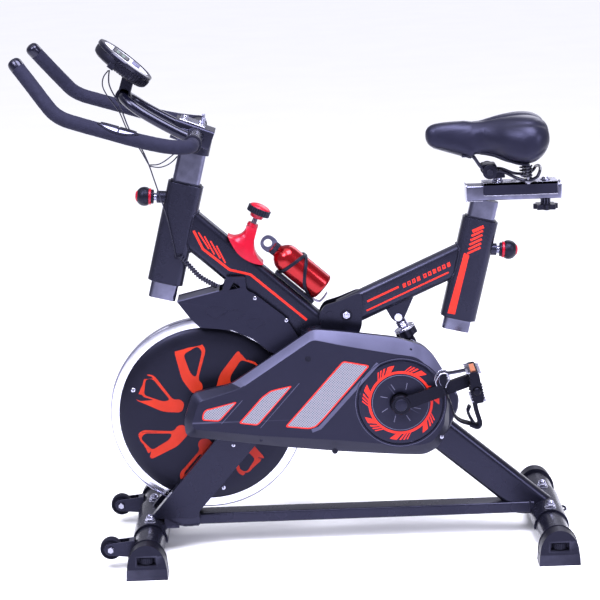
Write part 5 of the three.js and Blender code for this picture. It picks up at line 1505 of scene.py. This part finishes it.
def plug(points, name):
    """Glossy end plug over the bar's tip."""
    p = Piece("bar_end_plug_" + name)
    axis = unit(points[1], points[0])
    profile = [
        (0, -14), (15.25, -14), (15.5, -12), (15.5, -4), (15.1, 0), (13.6, 4), (10.6, 7), (6, 8.8), (0, 9.4),
    ]
    p.turned(profile, points[0], axis, GLOSS, 40)
    p.done("handlebar", bevel=0.3, slot="black_plastic")


def bar_at(x):
    """Point and direction of the left bar at a given x."""
    line = smooth(BAR_LINE, 10)
    for a, b in zip(line, line[1:]):
        if a.x <= x <= b.x:
            return a.lerp(b, (x - a.x) / (b.x - a.x)), unit(a, b)
    return line[-1], unit(line[-2], line[-1])


def pulse_sensors():
    """Two chrome plates on a boat-shaped base along the upper outer side of each bar."""
    for side, name in NAMED_SIDES:
        p = Piece("pulse_sensor_plates_" + name)
        layers = (
            (-407, -322, 62, 44, 14.6, 16.9, PLASTIC), (-401, -365, 66, 38, 16.6, 18.6, POST),
            (-362, -328, 66, 38, 16.6, 18.6, POST),
        )
        for x0, x1, middle, reach, r0, r1, look in layers:
            rows = []
            for i in range(25):
                x = x0 + (x1 - x0) * i / 24
                centre, d = bar_at(x)
                share = math.sin(math.pi * min(0.985, max(0.015, (x + 407) / 85))) ** 0.7
                up = (vec(UP) - d * d.z).normalized()
                ring = []
                for r, order in ((r1, range(13)), (r0, range(12, -1, -1))):
                    for k in order:
                        t = math.radians(middle + reach * share * (k / 6 - 1))
                        ring.append(centre + Vector((0, -math.cos(t) * r, 0)) + up * math.sin(t) * r)
                rows.append(ring)
            if side > 0:
                rows = [mirrored(ring) for ring in rows]
            p.rings(rows, look)
        p.done("handlebar", "pulse_sensor_" + name, bevel=0.5, slot="chrome")


CONSOLE_LONG = Vector((0.766, 0, -0.643))
CONSOLE_STRETCH = 69 / 66  # its length over its width


def console_point(u, v, h):
    """Point on the console: u down its face towards the rider, v to the right, h above its middle plane."""
    return vec(CONSOLE) + CONSOLE_LONG * u + Vector(SIDE) * v + vec(CONSOLE_AXIS) * h


def console_rings(p, profile, look, caps=True):
    """Round layer of the console from [radius, height] points."""
    rows = [[console_point(a * CONSOLE_STRETCH, b, h) for a, b in circle(r, 96)] for r, h in profile]
    p.rings(rows, look, caps=caps)


def console_slab(p, u, v, outline, h0, h1, look):
    """Flat block on the console's face with its middle at (u, v)."""
    p.rings([[console_point(u + a, v + b, h) for a, b in outline] for h in (h0, h1)], look)


def console():
    p = Piece("console_housing")
    body = [(44, -17), (56, -16), (61.4, -12.6), (63.4, -8), (64, -2), (64, 4), (60, 5)]
    console_rings(p, body, PLASTIC)
    rim = [
        (60, 3.6), (64.6, 4.2), (66, 5.6), (66, 11.6), (64.6, 13.6), (61, 14.8), (57, 15), (54.6, 13.6),
        (54, 11),
    ]
    console_rings(p, rim, GLOSS, caps=False)
    console_rings(p, [(55, 12.2), (54, 13), (0.5, 13.4)], WHITE)
    for k in range(33):
        t = math.pi * (-0.56 + 1.12 * k / 32)
        rib = []
        for r, h in ((56, -15.6), (62.4, -11), (64.4, -2), (64.4, 3)):
            rib.append(console_point(math.cos(t) * r * CONSOLE_STRETCH, math.sin(t) * r, h))
        p.tube(smooth(rib, 3), 1.7, PLASTIC, 6)
    console_slab(p, -14, 0, round_rect(42, 62, 6), 13, 14.6, PLASTIC)
    console_slab(p, -14, 0, round_rect(34, 54, 4), 14, 14.9, SCREEN)
    for row, widths in ((-22, (9, 9, 9)), (-8, (14, 14))):
        edge = -22
        for w in widths:
            console_slab(p, row, edge + w / 2, round_rect(7, w - 3, 0.6, 1), 14.8, 15.05, SEGMENT)
            edge += w + 3
    p.bar(round_rect(26, 26, 4), CONSOLE_PIVOT, (-346, 0, 1068), SIDE, PLASTIC)
    p.cross(17, CONSOLE_PIVOT, -13, 13, PLASTIC, 48)
    p.bar(round_rect(14, 15, 3), console_point(-16, -56, -18), console_point(-16, -56, -5), SIDE, PLASTIC)
    p.done("console", "console", bevel=0.6, slot="black_plastic")


def console_button():
    p = Piece("console_key")
    key, top = round_rect(20, 30, 9), round_rect(17, 27, 8)
    rows = [
        [console_point(24 + a, b, h) for a, b in ring]
        for ring, h in ((key, 9), (key, 16.6), (top, 18.4))
    ]
    p.rings(rows, DECAL_GREY)
    p.done("console_button", "console_button", bevel=0.8, slot="steel", segments=3)


def pop_pin(node, start, axis, reach):
    """Spring pin with a round grip; reach is how far its collar stands off the start."""
    p = Piece(node + "_grip")
    base = along(start, axis, reach)
    p.turned([(0, 0), (5, 0), (6.4, 2), (6.4, reach + 0.5), (0, reach + 0.5)], start, axis, BRUSHED, 32)
    thread = [(0, -3)]
    for k in range(4):
        thread += [(8.8, 0.4 + k * 1.6), (7.8, 1.2 + k * 1.6)]
    thread += [(8, 7), (0, 7)]
    collar = [(0, 6.4), (14.5, 6.6), (15.6, 7.6), (15.8, 11), (14.8, 12.4), (0, 12.4)]
    lower_ring = [(0, 12), (17.4, 12.2), (17.9, 13), (17.9, 17), (17.2, 18), (0, 18)]
    grip = [
        (0, 17.6), (18.8, 18), (20.4, 22), (21, 27), (20.4, 32), (18.2, 37), (14.4, 41), (12.6, 42.2),
        (0, 42.2),
    ]
    crown = [(0, 41.4), (13, 41.4), (12.2, 43.4), (9.4, 45.6), (5, 46.8), (0, 47)]
    for profile, look, sides in (
        (thread, CHROME, 32), (collar, PLASTIC, 48), (lower_ring, RED, 64), (grip, PLASTIC, 64),
        (crown, RED, 48),
    ):
        p.turned(profile, base, axis, look, sides)
    p.done(node, node, bevel=0.4, slot="red_plastic")


# ---------- seat ----------
def seat_arm():
    p = Piece("seat_arm_shell")
    sleeve(p, SEAT_BOTTOM, SEAT_TOP)
    p.oval(39, 65, ARM_START, ARM_END, SIDE, FRAME, 13)
    weld(p, ARM_END, ARM_START, SIDE, 39, 65, SEAT_TUBE, corner=13)
    p.rod(13.5, along(SEAT_PIN, SEAT_PIN_AXIS, -8), along(SEAT_PIN, SEAT_PIN_AXIS, 16.2), FRAME, 32)
    ears = [(186, 528), (200, 502), (207, 496), (214, 494), (221, 497), (228, 504), (250, 552), (200, 545)]
    for side in TWO_SIDES:
        p.plate(rounded(ears, 4), side * 12, side * 7.5, FRAME)
        bolt_head = [(0, 12), (9, 12), (9, 15.6), (8.6, 17), (0, 17)]
        p.turned(bolt_head, DAMPER_TOP, (0, side, 0), CHROME, 32)
    p.cross(8.6, DAMPER_TOP, -7, 7, BRUSHED)
    p.rod(9.6, DAMPER_TOP, along(DAMPER_TOP, DAMPER_AXIS, 11), BRUSHED, 40)
    arm_decals(p)
    seat_decals(p)
    p.done("seat_arm", "seat_arm", bevel=0.8, slot="frame_paint")


def arm_decals(p):
    """Two stripes and a row of plain slanted blocks where the lettering was."""
    d = unit(ARM_START, ARM_END)
    n = Vector((-d.z, 0, d.x))
    a = vec(ARM_START)

    def spot(s, t):
        q = a + d * s + n * t
        return (q.x, q.z)

    for side in TWO_SIDES:
        y0, y1 = side * 19.4, side * 19.85
        p.plate(band([spot(62, 4.5), spot(138, 4.5)], 4.4), y0, y1, DECAL)
        p.plate(band([spot(52, -13.5), spot(250, -13.5)], 3.4), y0, y1, DECAL)
        for k in range(10):
            s = 146 + k * 11.4 + (4 if k > 3 else 0)
            block = [spot(s, -2.6), spot(s + 7.4, -2.6), spot(s + 9.2, 6.6), spot(s + 1.8, 6.6)]
            hole = [spot(s + 2.6, 0), spot(s + 5.4, 0), spot(s + 6.4, 4.2), spot(s + 3.6, 4.2)]
            p.plate(block, y0, y1, DECAL, holes=[hole] if k % 3 else ())


def seat_decals(p):
    """Slanted bars that run down into one long stripe."""
    for side in TWO_SIDES:
        y0, y1 = side * 21.9, side * 22.35
        left, right = Vector((380, 692.5)), Vector((404.6, 702.5))
        last_left, last_right = Vector((368, 644)), Vector((396.8, 656.5))
        for k in range(6):
            a, b = left.lerp(last_left, k / 5), right.lerp(last_right, k / 5)
            p.plate(band([tuple(a), tuple(b)], 4.6 if k else 7), y0, y1, DECAL)
        p.plate([(361, 646), (372, 640), (338.2, 509.3), (321.9, 512.9)], y0, y1, DECAL)


def damper_point(d):
    return along(DAMPER_TOP, DAMPER_AXIS, d)


def damper_cup():
    p = Piece("damper_cup")
    p.turned(
        [(9, 27.5), (22.6, 27.5), (24, 28.6), (24, 32.8), (22.6, 33.8), (9, 33.8), (9, 27.5)],
        DAMPER_TOP, DAMPER_AXIS, IRON, 64,
    )
    p.bar(toothed(24.2, 0.7, 40), damper_point(28.8), damper_point(32.4), SIDE, IRON)
    p.bar(wavy(22.5, 1.5, 10, 120), damper_point(34), damper_point(50), SIDE, PLASTIC)
    for side in TWO_SIDES:
        p.bar(
            round_rect(21, 5.2, 1.6), at_y(damper_point(48), side * 9.2), at_y(damper_point(74), side * 9.2),
            ALONG_X, FRAME,
        )
        p.hexnut(8.4, at_y(DAMPER_FOOT, side * 12), at_y(DAMPER_FOOT, side * 17), BRUSHED)
    p.cross(5, DAMPER_FOOT, -15, 15, BRUSHED)
    p.done("frame", "damper_body", bevel=0.5, slot="steel")


def damper_spring():
    x, y, _ = axes(DAMPER_TOP, DAMPER_FOOT, SIDE)
    p = Piece("damper_coil")
    points = []
    steps = 108
    for i in range(steps + 1):
        t = TAU * 3 * i / steps
        points.append(damper_point(12.4 + 12.6 * i / steps) + x * 10.4 * math.sin(t) + y * 10.4 * math.cos(t))
    p.tube(points, 2.1, CHROME, 12)
    obj = p.done("seat_arm", "damper_spring", bevel=0, slot="steel")
    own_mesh(obj)


RAIL_Z = (759, 792)
STUB_X, KNOB_X = 438, 542


def seat_post():
    p = Piece("seat_post_tube")
    flat_post(p, SEAT_BOTTOM, SEAT_TOP, 28, 44, 1, (14, 34))
    middle = (RAIL_Z[0] + RAIL_Z[1]) / 2
    p.bar(round_rect(44, 33, 4), (370, 0, middle), (573, 0, middle), SIDE, POST)
    p.bar(round_rect(39, 28, 2), (368.4, 0, middle), (370.2, 0, middle), SIDE, PLASTIC)
    for x0, x1 in ((367.2, 369.8), (572.8, 575.4)):
        p.bar(round_rect(46, 37, 4), (x0, 0, middle), (x1, 0, middle), SIDE, CHROME)
    p.plate(box(372, 757.4, 404, 759.4), -20, 20, BRUSHED)
    p.done("seat_post", "seat_post", bevel=0.7, slot="chrome")


def slider_carriage():
    p = Piece("slider_carriage_shell")
    shape = rounded([(405, 772), (408, 769), (567, 769), (567, 797.5), (405, 797.5)], 3)
    for side in TWO_SIDES:
        p.plate(shape, side * 25.5, side * 22.3, PANEL)
        rim = [(405.8, 772), (408.5, 770), (566, 770), (566.2, 796)]
        p.plate(band(rim, 1.6), side * 25.4, side * 25.9, BRUSHED)
    p.plate(box(405, 792.3, 567, 797.5), -25.5, 25.5, BRUSHED)
    p.turned(
        [(0, 796), (13, 796), (13, 797.6), (11.4, 800.4), (10.5, 802), (10.5, 822), (0, 822)],
        (STUB_X, 0, 0), UP, CHROME, 48,
    )
    p.plate(rounded([(414, 807), (454, 807), (452, 820), (416, 820)], 3), -14, 14, PLASTIC)
    p.done("seat_slider", "slider_carriage", bevel=0.6, slot="steel")


def slider_knob():
    p = Piece("slider_knob_wheel")
    base = (KNOB_X, 0, 734)
    p.bar(wavy(24, 3, 8, 160), base, (KNOB_X, 0, 745), ALONG_X, PLASTIC)
    p.turned([(0, -0.6), (16, -0.6), (17.4, 0.4), (17.4, 1), (0, 1)], base, UP, PLASTIC, 48)
    p.turned(
        [(0, 744), (11.4, 744), (10, 747), (10, 757), (8.6, 758.6), (0, 758.6)],
        (KNOB_X, 0, 0), UP, PLASTIC, 40,
    )
    for k in range(10):
        t = TAU * k / 10
        x, y = KNOB_X + 10 * math.cos(t), 10 * math.sin(t)
        p.rod(0.9, (x, y, 746.6), (x, y, 757.4), DECAL_GREY, 8)
    p.rod(4.8, (KNOB_X, 0, 757), (KNOB_X, 0, 799), ZINC, 24)
    p.turned([(0, 797.7), (11, 797.7), (11, 799.2), (0, 799.2)], (KNOB_X, 0, 0), UP, CHROME, 32)
    p.turned([(0, 799), (8.4, 799), (8.2, 801.6), (5.6, 804), (0, 804.6)], (KNOB_X, 0, 0), UP, CHROME, 32)
    p.done("slider_knob", "slider_knob", bevel=0.8, slot="black_plastic", segments=3)


def coil(p, centre, radius, wire, z0, z1, turns, look):
    """Upright spring from z0 to z1."""
    steps = turns * 24
    points = []
    for i in range(steps + 1):
        t = TAU * turns * i / steps
        x, y = centre[0] + radius * math.cos(t), centre[1] + radius * math.sin(t)
        points.append(Vector((x, y, z0 + (z1 - z0) * i / steps)))
    p.tube(points, wire, look, 10)


def saddle_rails():
    p = Piece("saddle_rail_wires")
    near = [
        (368, -16, 862), (384, -19, 856), (402, -20, 832), (419, -20, 823), (446, -22, 822), (476, -34, 809),
        (494, -44, 805), (508, -45, 806), (520, -44, 812), (526, -38, 822),
    ]
    line = smooth(near, 8)
    for side, points in ((-1, line), (1, mirrored(line))):
        p.tube(points, 3.5, GLOSS, 14)
        x, y = 500, side * 45
        p.rod(3.4, (x, y, 803), (x, y, 837), ZINC, 16)
        coil(p, (x, y), 7.4, 2.3, 809, 836, 4, GLOSS)
        p.turned([(0, 800.6), (9, 800.6), (9, 803), (0, 803)], (x, y, 0), UP, ZINC, 24)
        p.hexnut(6, (x, y, 801), (x, y, 797), BRUSHED)
        p.turned(
            [(13.4, 28), (15.4, 28.4), (15.4, 33.4), (13.4, 34), (0, 34), (0, 28)],
            SADDLE_PIVOT, (0, side, 0), PLASTIC, 40,
        )
        p.bar(
            toothed(12.4, 1.4, 24), at_y(SADDLE_PIVOT, side * 22), at_y(SADDLE_PIVOT, side * 28), ALONG_X,
            ZINC,
        )
        p.hexnut(8, at_y(SADDLE_PIVOT, side * 33.6), at_y(SADDLE_PIVOT, side * 38), GLOSS)
    back = smooth([(526, -38, 822), (529, -20, 826), (530, 0, 827), (529, 20, 826), (526, 38, 822)], 6)
    p.tube(back, 3.4, GLOSS, 14)
    p.turned([(0, -28), (12, -28), (12, 28), (0, 28)], SADDLE_PIVOT, SIDE, PLASTIC, 48)
    p.plate(rounded([(402, 826), (404, 838), (434, 838), (437, 826)], 4), -21, 21, PLASTIC)
    p.plate(box(360, 855.5, 378, 860), -22, 22, PLASTIC)
    p.done("saddle", "saddle_rails", bevel=0.4, slot="steel")


# the saddle's sections from nose to tail: x, half width, top, underside
STATIONS = [
    (282, 6, 909, 897), (284.5, 14, 919, 888), (291, 21, 926, 879), (302, 26, 930, 873.5),
    (320, 29, 931.5, 868.5), (345, 32, 931, 861), (367, 35, 929, 854), (380, 37, 928, 850),
    (389, 39, 928, 861), (406, 46, 929.5, 860), (430, 61, 933, 855), (454, 79, 938.5, 846),
    (478, 92, 943, 839.5), (497, 98, 944.6, 838), (511, 98, 943.6, 840), (521, 95, 941, 845),
    (532, 87, 935.5, 854), (540, 78, 928, 866), (544.5, 69, 920, 875), (547, 58, 911, 883),
]
NOSE_X, TAIL_X = 282, 547
CUSHION_VOXEL, PUFF_LIMIT = 0.0048, 0.006  # metres
CLOTH_FRAMES = 20


def value_at(xs, values, x):
    """Linear reading of values at x, held at both ends."""
    for i in range(len(xs) - 1):
        if xs[i] <= x <= xs[i + 1]:
            t = (x - xs[i]) / max(1e-6, xs[i + 1] - xs[i])
            return values[i] * (1 - t) + values[i + 1] * t
    return values[-1] if x > xs[-1] else values[0]


def saddle_shape():
    """Gives a function of x for the saddle's half width, top and underside."""
    wide = smooth([(x, half, 0) for x, half, _, _ in STATIONS], 6)
    tall = smooth([(x, top, low) for x, _, top, low in STATIONS], 6)
    wide_x, halves = [q.x for q in wide], [q.y for q in wide]
    tall_x, tops, lows = [q.x for q in tall], [q.y for q in tall], [q.z for q in tall]

    def shape(x):
        return value_at(wide_x, halves, x), value_at(tall_x, tops, x), value_at(tall_x, lows, x)

    return shape


def groove(x, y, half):
    """How far the centre channel and the lobe creases sink, millimetres."""
    along_part = max(0.0, min(1.0, (x - 372) / 60)) * max(0.0, min(1.0, (556 - x) / 14))
    channel = 8.5 * along_part * math.exp(-((y / 13) ** 2))
    lobe = 3.4 * along_part * math.exp(-(((abs(y) / max(half, 1) - 0.5) / 0.26) ** 2))
    edge = abs(y) / max(half, 1)
    crease = 1.7 * max(0.0, min(1.0, (x - 430) / 40)) * math.exp(-(((edge - 0.72) / 0.05) ** 2))
    return channel + crease - lobe


def tail_crease(x, z):
    """Depth of the fold that runs up the lower flank of the tail."""
    line = 845 + max(0.0, x - 470) * 0.5
    share = max(0.0, min(1.0, (x - 462) / 14))
    return 2.6 * share * math.exp(-(((z - line) / 2.6) ** 2))


def saddle_cushion():
    shape = saddle_shape()
    bm = bmesh.new()
    rows = []
    for i in range(49):
        t = i / 48
        x = NOSE_X + (TAIL_X - NOSE_X) * (0.5 - 0.5 * math.cos(math.pi * t))
        half, top, low = shape(x)
        half, top, low = half - 2.6, top - 2.6, low + 2
        middle = low + (top - low) * 0.42
        ring = []
        for k in range(48):
            a = TAU * k / 48
            c, s = math.cos(a), math.sin(a)
            y = half * math.copysign(abs(c) ** 0.75, c)
            z = middle + (top - middle) * abs(s) ** 0.85 if s > 0 else middle - (middle - low) * abs(s) ** 0.5
            ring.append(bm.verts.new(((x + SHIFT) * MM, y * MM, z * MM)))
        rows.append(ring)
    for a, b in zip(rows, rows[1:]):
        for k in range(48):
            j = (k + 1) % 48
            bm.faces.new((a[k], a[j], b[j], b[k]))
    bm.faces.new(rows[0][::-1])
    bm.faces.new(rows[-1])
    bmesh.ops.recalc_face_normals(bm, faces=bm.faces)
    mesh = bpy.data.meshes.new("saddle_cushion")
    bm.to_mesh(mesh)
    bm.free()
    obj = bpy.data.objects.new("saddle_cushion", mesh)
    bpy.context.scene.collection.objects.link(obj)
    inflate(obj)
    finish_cushion(obj, shape)


def applied(obj):
    """Replaces an object's mesh with what its modifiers make of it now."""
    graph = bpy.context.evaluated_depsgraph_get()
    mesh = bpy.data.meshes.new_from_object(obj.evaluated_get(graph))
    obj.modifiers.clear()
    obj.data = mesh


def inflate(obj):
    """Remeshes the cushion and blows it up a little as cloth under pressure."""
    remesh = obj.modifiers.new("voxels", "REMESH")
    remesh.mode = "VOXEL"
    remesh.voxel_size = CUSHION_VOXEL
    applied(obj)
    rest = [v.co.copy() for v in obj.data.vertices]
    cloth = obj.modifiers.new("cloth", "CLOTH")
    cloth.settings.use_pressure = True
    cloth.settings.uniform_pressure_force = 4
    cloth.settings.effector_weights.gravity = 0
    cloth.settings.quality = 6
    scene = bpy.context.scene
    for f in range(1, CLOTH_FRAMES + 1):
        scene.frame_set(f)
    applied(obj)
    for v, start in zip(obj.data.vertices, rest):
        move = v.co - start
        if move.length > PUFF_LIMIT:
            v.co = start + move.normalized() * PUFF_LIMIT
    scene.frame_set(1)


def finish_cushion(obj, shape):
    """Sinks the channel and creases into the cushion, then gives it its look and its body."""
    for v in obj.data.vertices:
        x, y, z = v.co.x / MM - SHIFT, v.co.y / MM, v.co.z / MM
        half, top, low = shape(min(max(x, NOSE_X), TAIL_X))
        if z > (top + low) / 2:
            z -= groove(x, y, half)
        z = max(z, low - 1)
        y -= math.copysign(tail_crease(x, z), y)
        v.co.y, v.co.z = y * MM, z * MM
    for f in obj.data.polygons:
        f.use_smooth = True
    obj.data.materials.append(VINYL)
    sub = obj.modifiers.new("smooth", "SUBSURF")
    sub.levels = sub.render_levels = 1
    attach(obj, "saddle")
    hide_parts("saddle")


def saddle_trim():
    """Plastic base pan under the cushion."""
    shape = saddle_shape()
    p = Piece("saddle_base_pan")
    rows = []
    for i in range(41):
        x = 300 + 200 * i / 40
        half, _, low = shape(x)
        wide = max(6.0, half - 16)
        ring = []
        for k in range(33):
            t = math.pi * k / 32
            ring.append(Vector((x, wide * math.cos(t), low + 5 - 4.4 * math.sin(t) ** 0.6)))
        for k in range(33):
            t = math.pi * (32 - k) / 32
            ring.append(Vector((x, (wide - 3) * math.cos(t), low + 8 - 3 * math.sin(t))))
        rows.append(ring)
    p.rings(rows, PLASTIC)
    p.done("saddle", bevel=0.4, slot="black_plastic")


# ---------- leads ----------
def lead(name, points, radius, look, steps=4):
    """Lead as a curve of one open spline. Returns the object, its length and its exit."""
    line = [Vector(((q.x + SHIFT) * MM, q.y * MM, q.z * MM)) for q in smooth(points, steps)]
    curve = bpy.data.curves.new(name, "CURVE")
    curve.dimensions = "3D"
    curve.bevel_depth = radius * MM
    curve.bevel_resolution = 4
    curve.use_fill_caps = True
    spline = curve.splines.new("POLY")
    spline.points.add(len(line) - 1)
    for point, co in zip(spline.points, line):
        point.co = (*co, 1)
    curve.materials.append(look)
    obj = bpy.data.objects.new(name, curve)
    bpy.context.scene.collection.objects.link(obj)
    length = sum((b - a).length for a, b in zip(line, line[1:]))
    return obj, length, tuple(line[0])


def leads():
    main = [
        (-386.5, -56, 1075), (-388.5, -56, 1062), (-389, -56, 1048), (-386, -56.5, 1036), (-379, -57, 1021),
        (-372, -56, 1009), (-364.7, -56, 988.3), (-351.8, -56, 949.2), (-338.2, -56, 922.9),
        (-326.4, -54, 903.1), (-313.2, -50, 868), (-304.1, -45, 835.1), (-293.9, -36, 797.3),
        (-281.5, -29, 750.8), (-273.4, -26.4, 706.5), (-266, -25.3, 660),
    ]
    obj, length, start = lead("console_lead_main", main, 1.5, GLOSS)
    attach(obj, "handlebar")
    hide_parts("console_lead")
    second = [
        (-389, -53, 1074), (-400, -53, 1060), (-403, -53, 1042), (-395, -53, 1022), (-381, -53, 1002),
        (-370, -53, 984), (-357, -53, 949.2), (-343.5, -53, 922.9), (-331, -51, 903.1), (-314.5, -49, 870),
    ]
    branches = (
        (
            "console_lead_branch",
            [
                (-313.2, -50, 868), (-293.8, -50, 868.5), (-280.6, -48, 874), (-268, -42, 882),
                (-258, -30, 888), (-251, -15, 890),
            ],
        ),
        (
            "console_lead_twig",
            [(-312, -50, 865.5), (-292, -50, 862), (-274, -46, 866), (-262, -38, 873), (-254, -16, 879)],
        ),
        ("console_lead_second", second),
    )
    for name, points in branches:
        obj, length, start = lead(name, points, 1.3, GLOSS, 8)
        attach(obj, "handlebar")
    sleeve = [
        (-257.5, -29, 662.4), (-238.8, -30, 641.8), (-216.9, -30, 616.5), (-194.2, -26, 600),
        (-181, -20, 590.5),
    ]
    obj, length, start = lead("sensor_lead_core", sleeve, 4.2, GLOSS, 6)
    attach(obj, "frame")
    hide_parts("sensor_lead")
    wrap = spiral_wrap(sleeve)


def spiral_wrap(points):
    """Flat plastic tape wound round the lead."""
    line = smooth(points, 24)
    p = Piece("sensor_lead_wrap")
    coil_line = []
    turn = 0.0
    for a, b in zip(line, line[1:]):
        d = (b - a).normalized()
        x = Vector(SIDE).cross(d).normalized()
        y = d.cross(x)
        for k in range(2):
            q = a.lerp(b, k / 2)
            coil_line.append(q + (x * math.cos(turn) + y * math.sin(turn)) * 5.2)
            turn += (b - a).length / 2 / 6.4 * TAU
    p.tube(coil_line, 1.5, PLASTIC, 8)
    return p.done("frame", bevel=0, slot="rubber")


# ---------- floor, lights and camera ----------
CAMERA_PITCH, CAMERA_ROLL = 12.28, 2.06  # degrees
CAMERA_FRAME, CAMERA_LENS = 36, 128.526  # millimetres
CAMERA_PLACE = (SHIFT * MM, -4.6001, 1.5506)  # metres
FLOOR_REACH = 30000
LIGHT_TINT = (0.88, 0.88, 1.0)
LAMPS = (
    # name, place, what it points at, size, power
    ("key", (-1.6, -2.0, 3.0), (0, 0, 0.5), 1.3, 110),
    ("top", (0.6, -1.1, 3.2), (0, 0, 0.4), 1.6, 150),
    ("fill", (2.8, -2.0, 1.9), (0, 0, 0.5), 1.1, 50),
    ("rim", (1.4, 2.6, 2.4), (0, 0, 0.6), 1.8, 35),
)


def floor():
    p = Piece("studio_floor")
    p.plate(box(-FLOOR_REACH, -2, FLOOR_REACH, -0.05), -FLOOR_REACH, FLOOR_REACH, FLOOR)
    p.done(None, bevel=0)


def sky():
    """Even pale surroundings and a wide soft sun."""
    world = bpy.data.worlds.new("studio")
    bpy.context.scene.world = world
    world.use_nodes = True
    back = world.node_tree.nodes["Background"]
    back.inputs["Color"].default_value = (0.84, 0.84, 1.0, 1)
    back.inputs["Strength"].default_value = 0.5
    sun = bpy.data.lights.new("sky", "SUN")
    sun.energy = 2.0
    sun.angle = math.radians(70)
    obj = bpy.data.objects.new("sky", sun)
    obj.rotation_euler = (math.radians(18), math.radians(-14), 0)
    bpy.context.scene.collection.objects.link(obj)
    bpy.context.scene.view_settings.view_transform = "Standard"


def lamps():
    for name, place, aim, size, power in LAMPS:
        light = bpy.data.lights.new(name, "AREA")
        light.size = size
        light.energy = power
        light.color = LIGHT_TINT
        obj = bpy.data.objects.new(name, light)
        obj.location = place
        obj.rotation_mode = "QUATERNION"
        obj.rotation_quaternion = (Vector(aim) - Vector(place)).to_track_quat("-Z", "Y")
        bpy.context.scene.collection.objects.link(obj)


def camera():
    pitch, roll = math.radians(CAMERA_PITCH), math.radians(CAMERA_ROLL)
    forward = Vector((0, math.cos(pitch), -math.sin(pitch)))
    right = Vector((1, 0, 0))
    up = right.cross(forward)
    x = right * math.cos(roll) - up * math.sin(roll)
    y = right * math.sin(roll) + up * math.cos(roll)
    data = bpy.data.cameras.new("camera")
    data.sensor_width = CAMERA_FRAME
    data.lens = CAMERA_LENS
    data.clip_end = 100
    cam = bpy.data.objects.new("camera", data)
    rotation = Matrix((x, y, -forward)).transposed()
    cam.matrix_world = Matrix.Translation(CAMERA_PLACE) @ rotation.to_4x4()
    bpy.context.scene.collection.objects.link(cam)
    bpy.context.scene.camera = cam


camera()
leads()
for build in (
    head_tube, down_tube, rear_leg, base_rail, front_legs, stabilisers, foot_caps, transport_wheels, flywheel,
    flywheel_covers, drive_belt, crank_pulley, bottom_bracket, cranks, pedals, chain_guard, chain_guard_back,
    flywheel_guard, brake_mount, brake_rod, brake_pad, brake_knob, bottle, bottle_cap, bottle_cage, head_post,
    handlebar, grips, pulse_sensors, console, console_button, seat_arm, damper_cup, damper_spring, seat_post,
    slider_carriage, slider_knob, saddle_rails, saddle_cushion, saddle_trim, floor, sky, lamps,
):
    build()
pop_pin("handlebar_pin", HANDLEBAR_PIN, HANDLEBAR_PIN_AXIS, 22)
pop_pin("seat_pin", SEAT_PIN, SEAT_PIN_AXIS, 16)
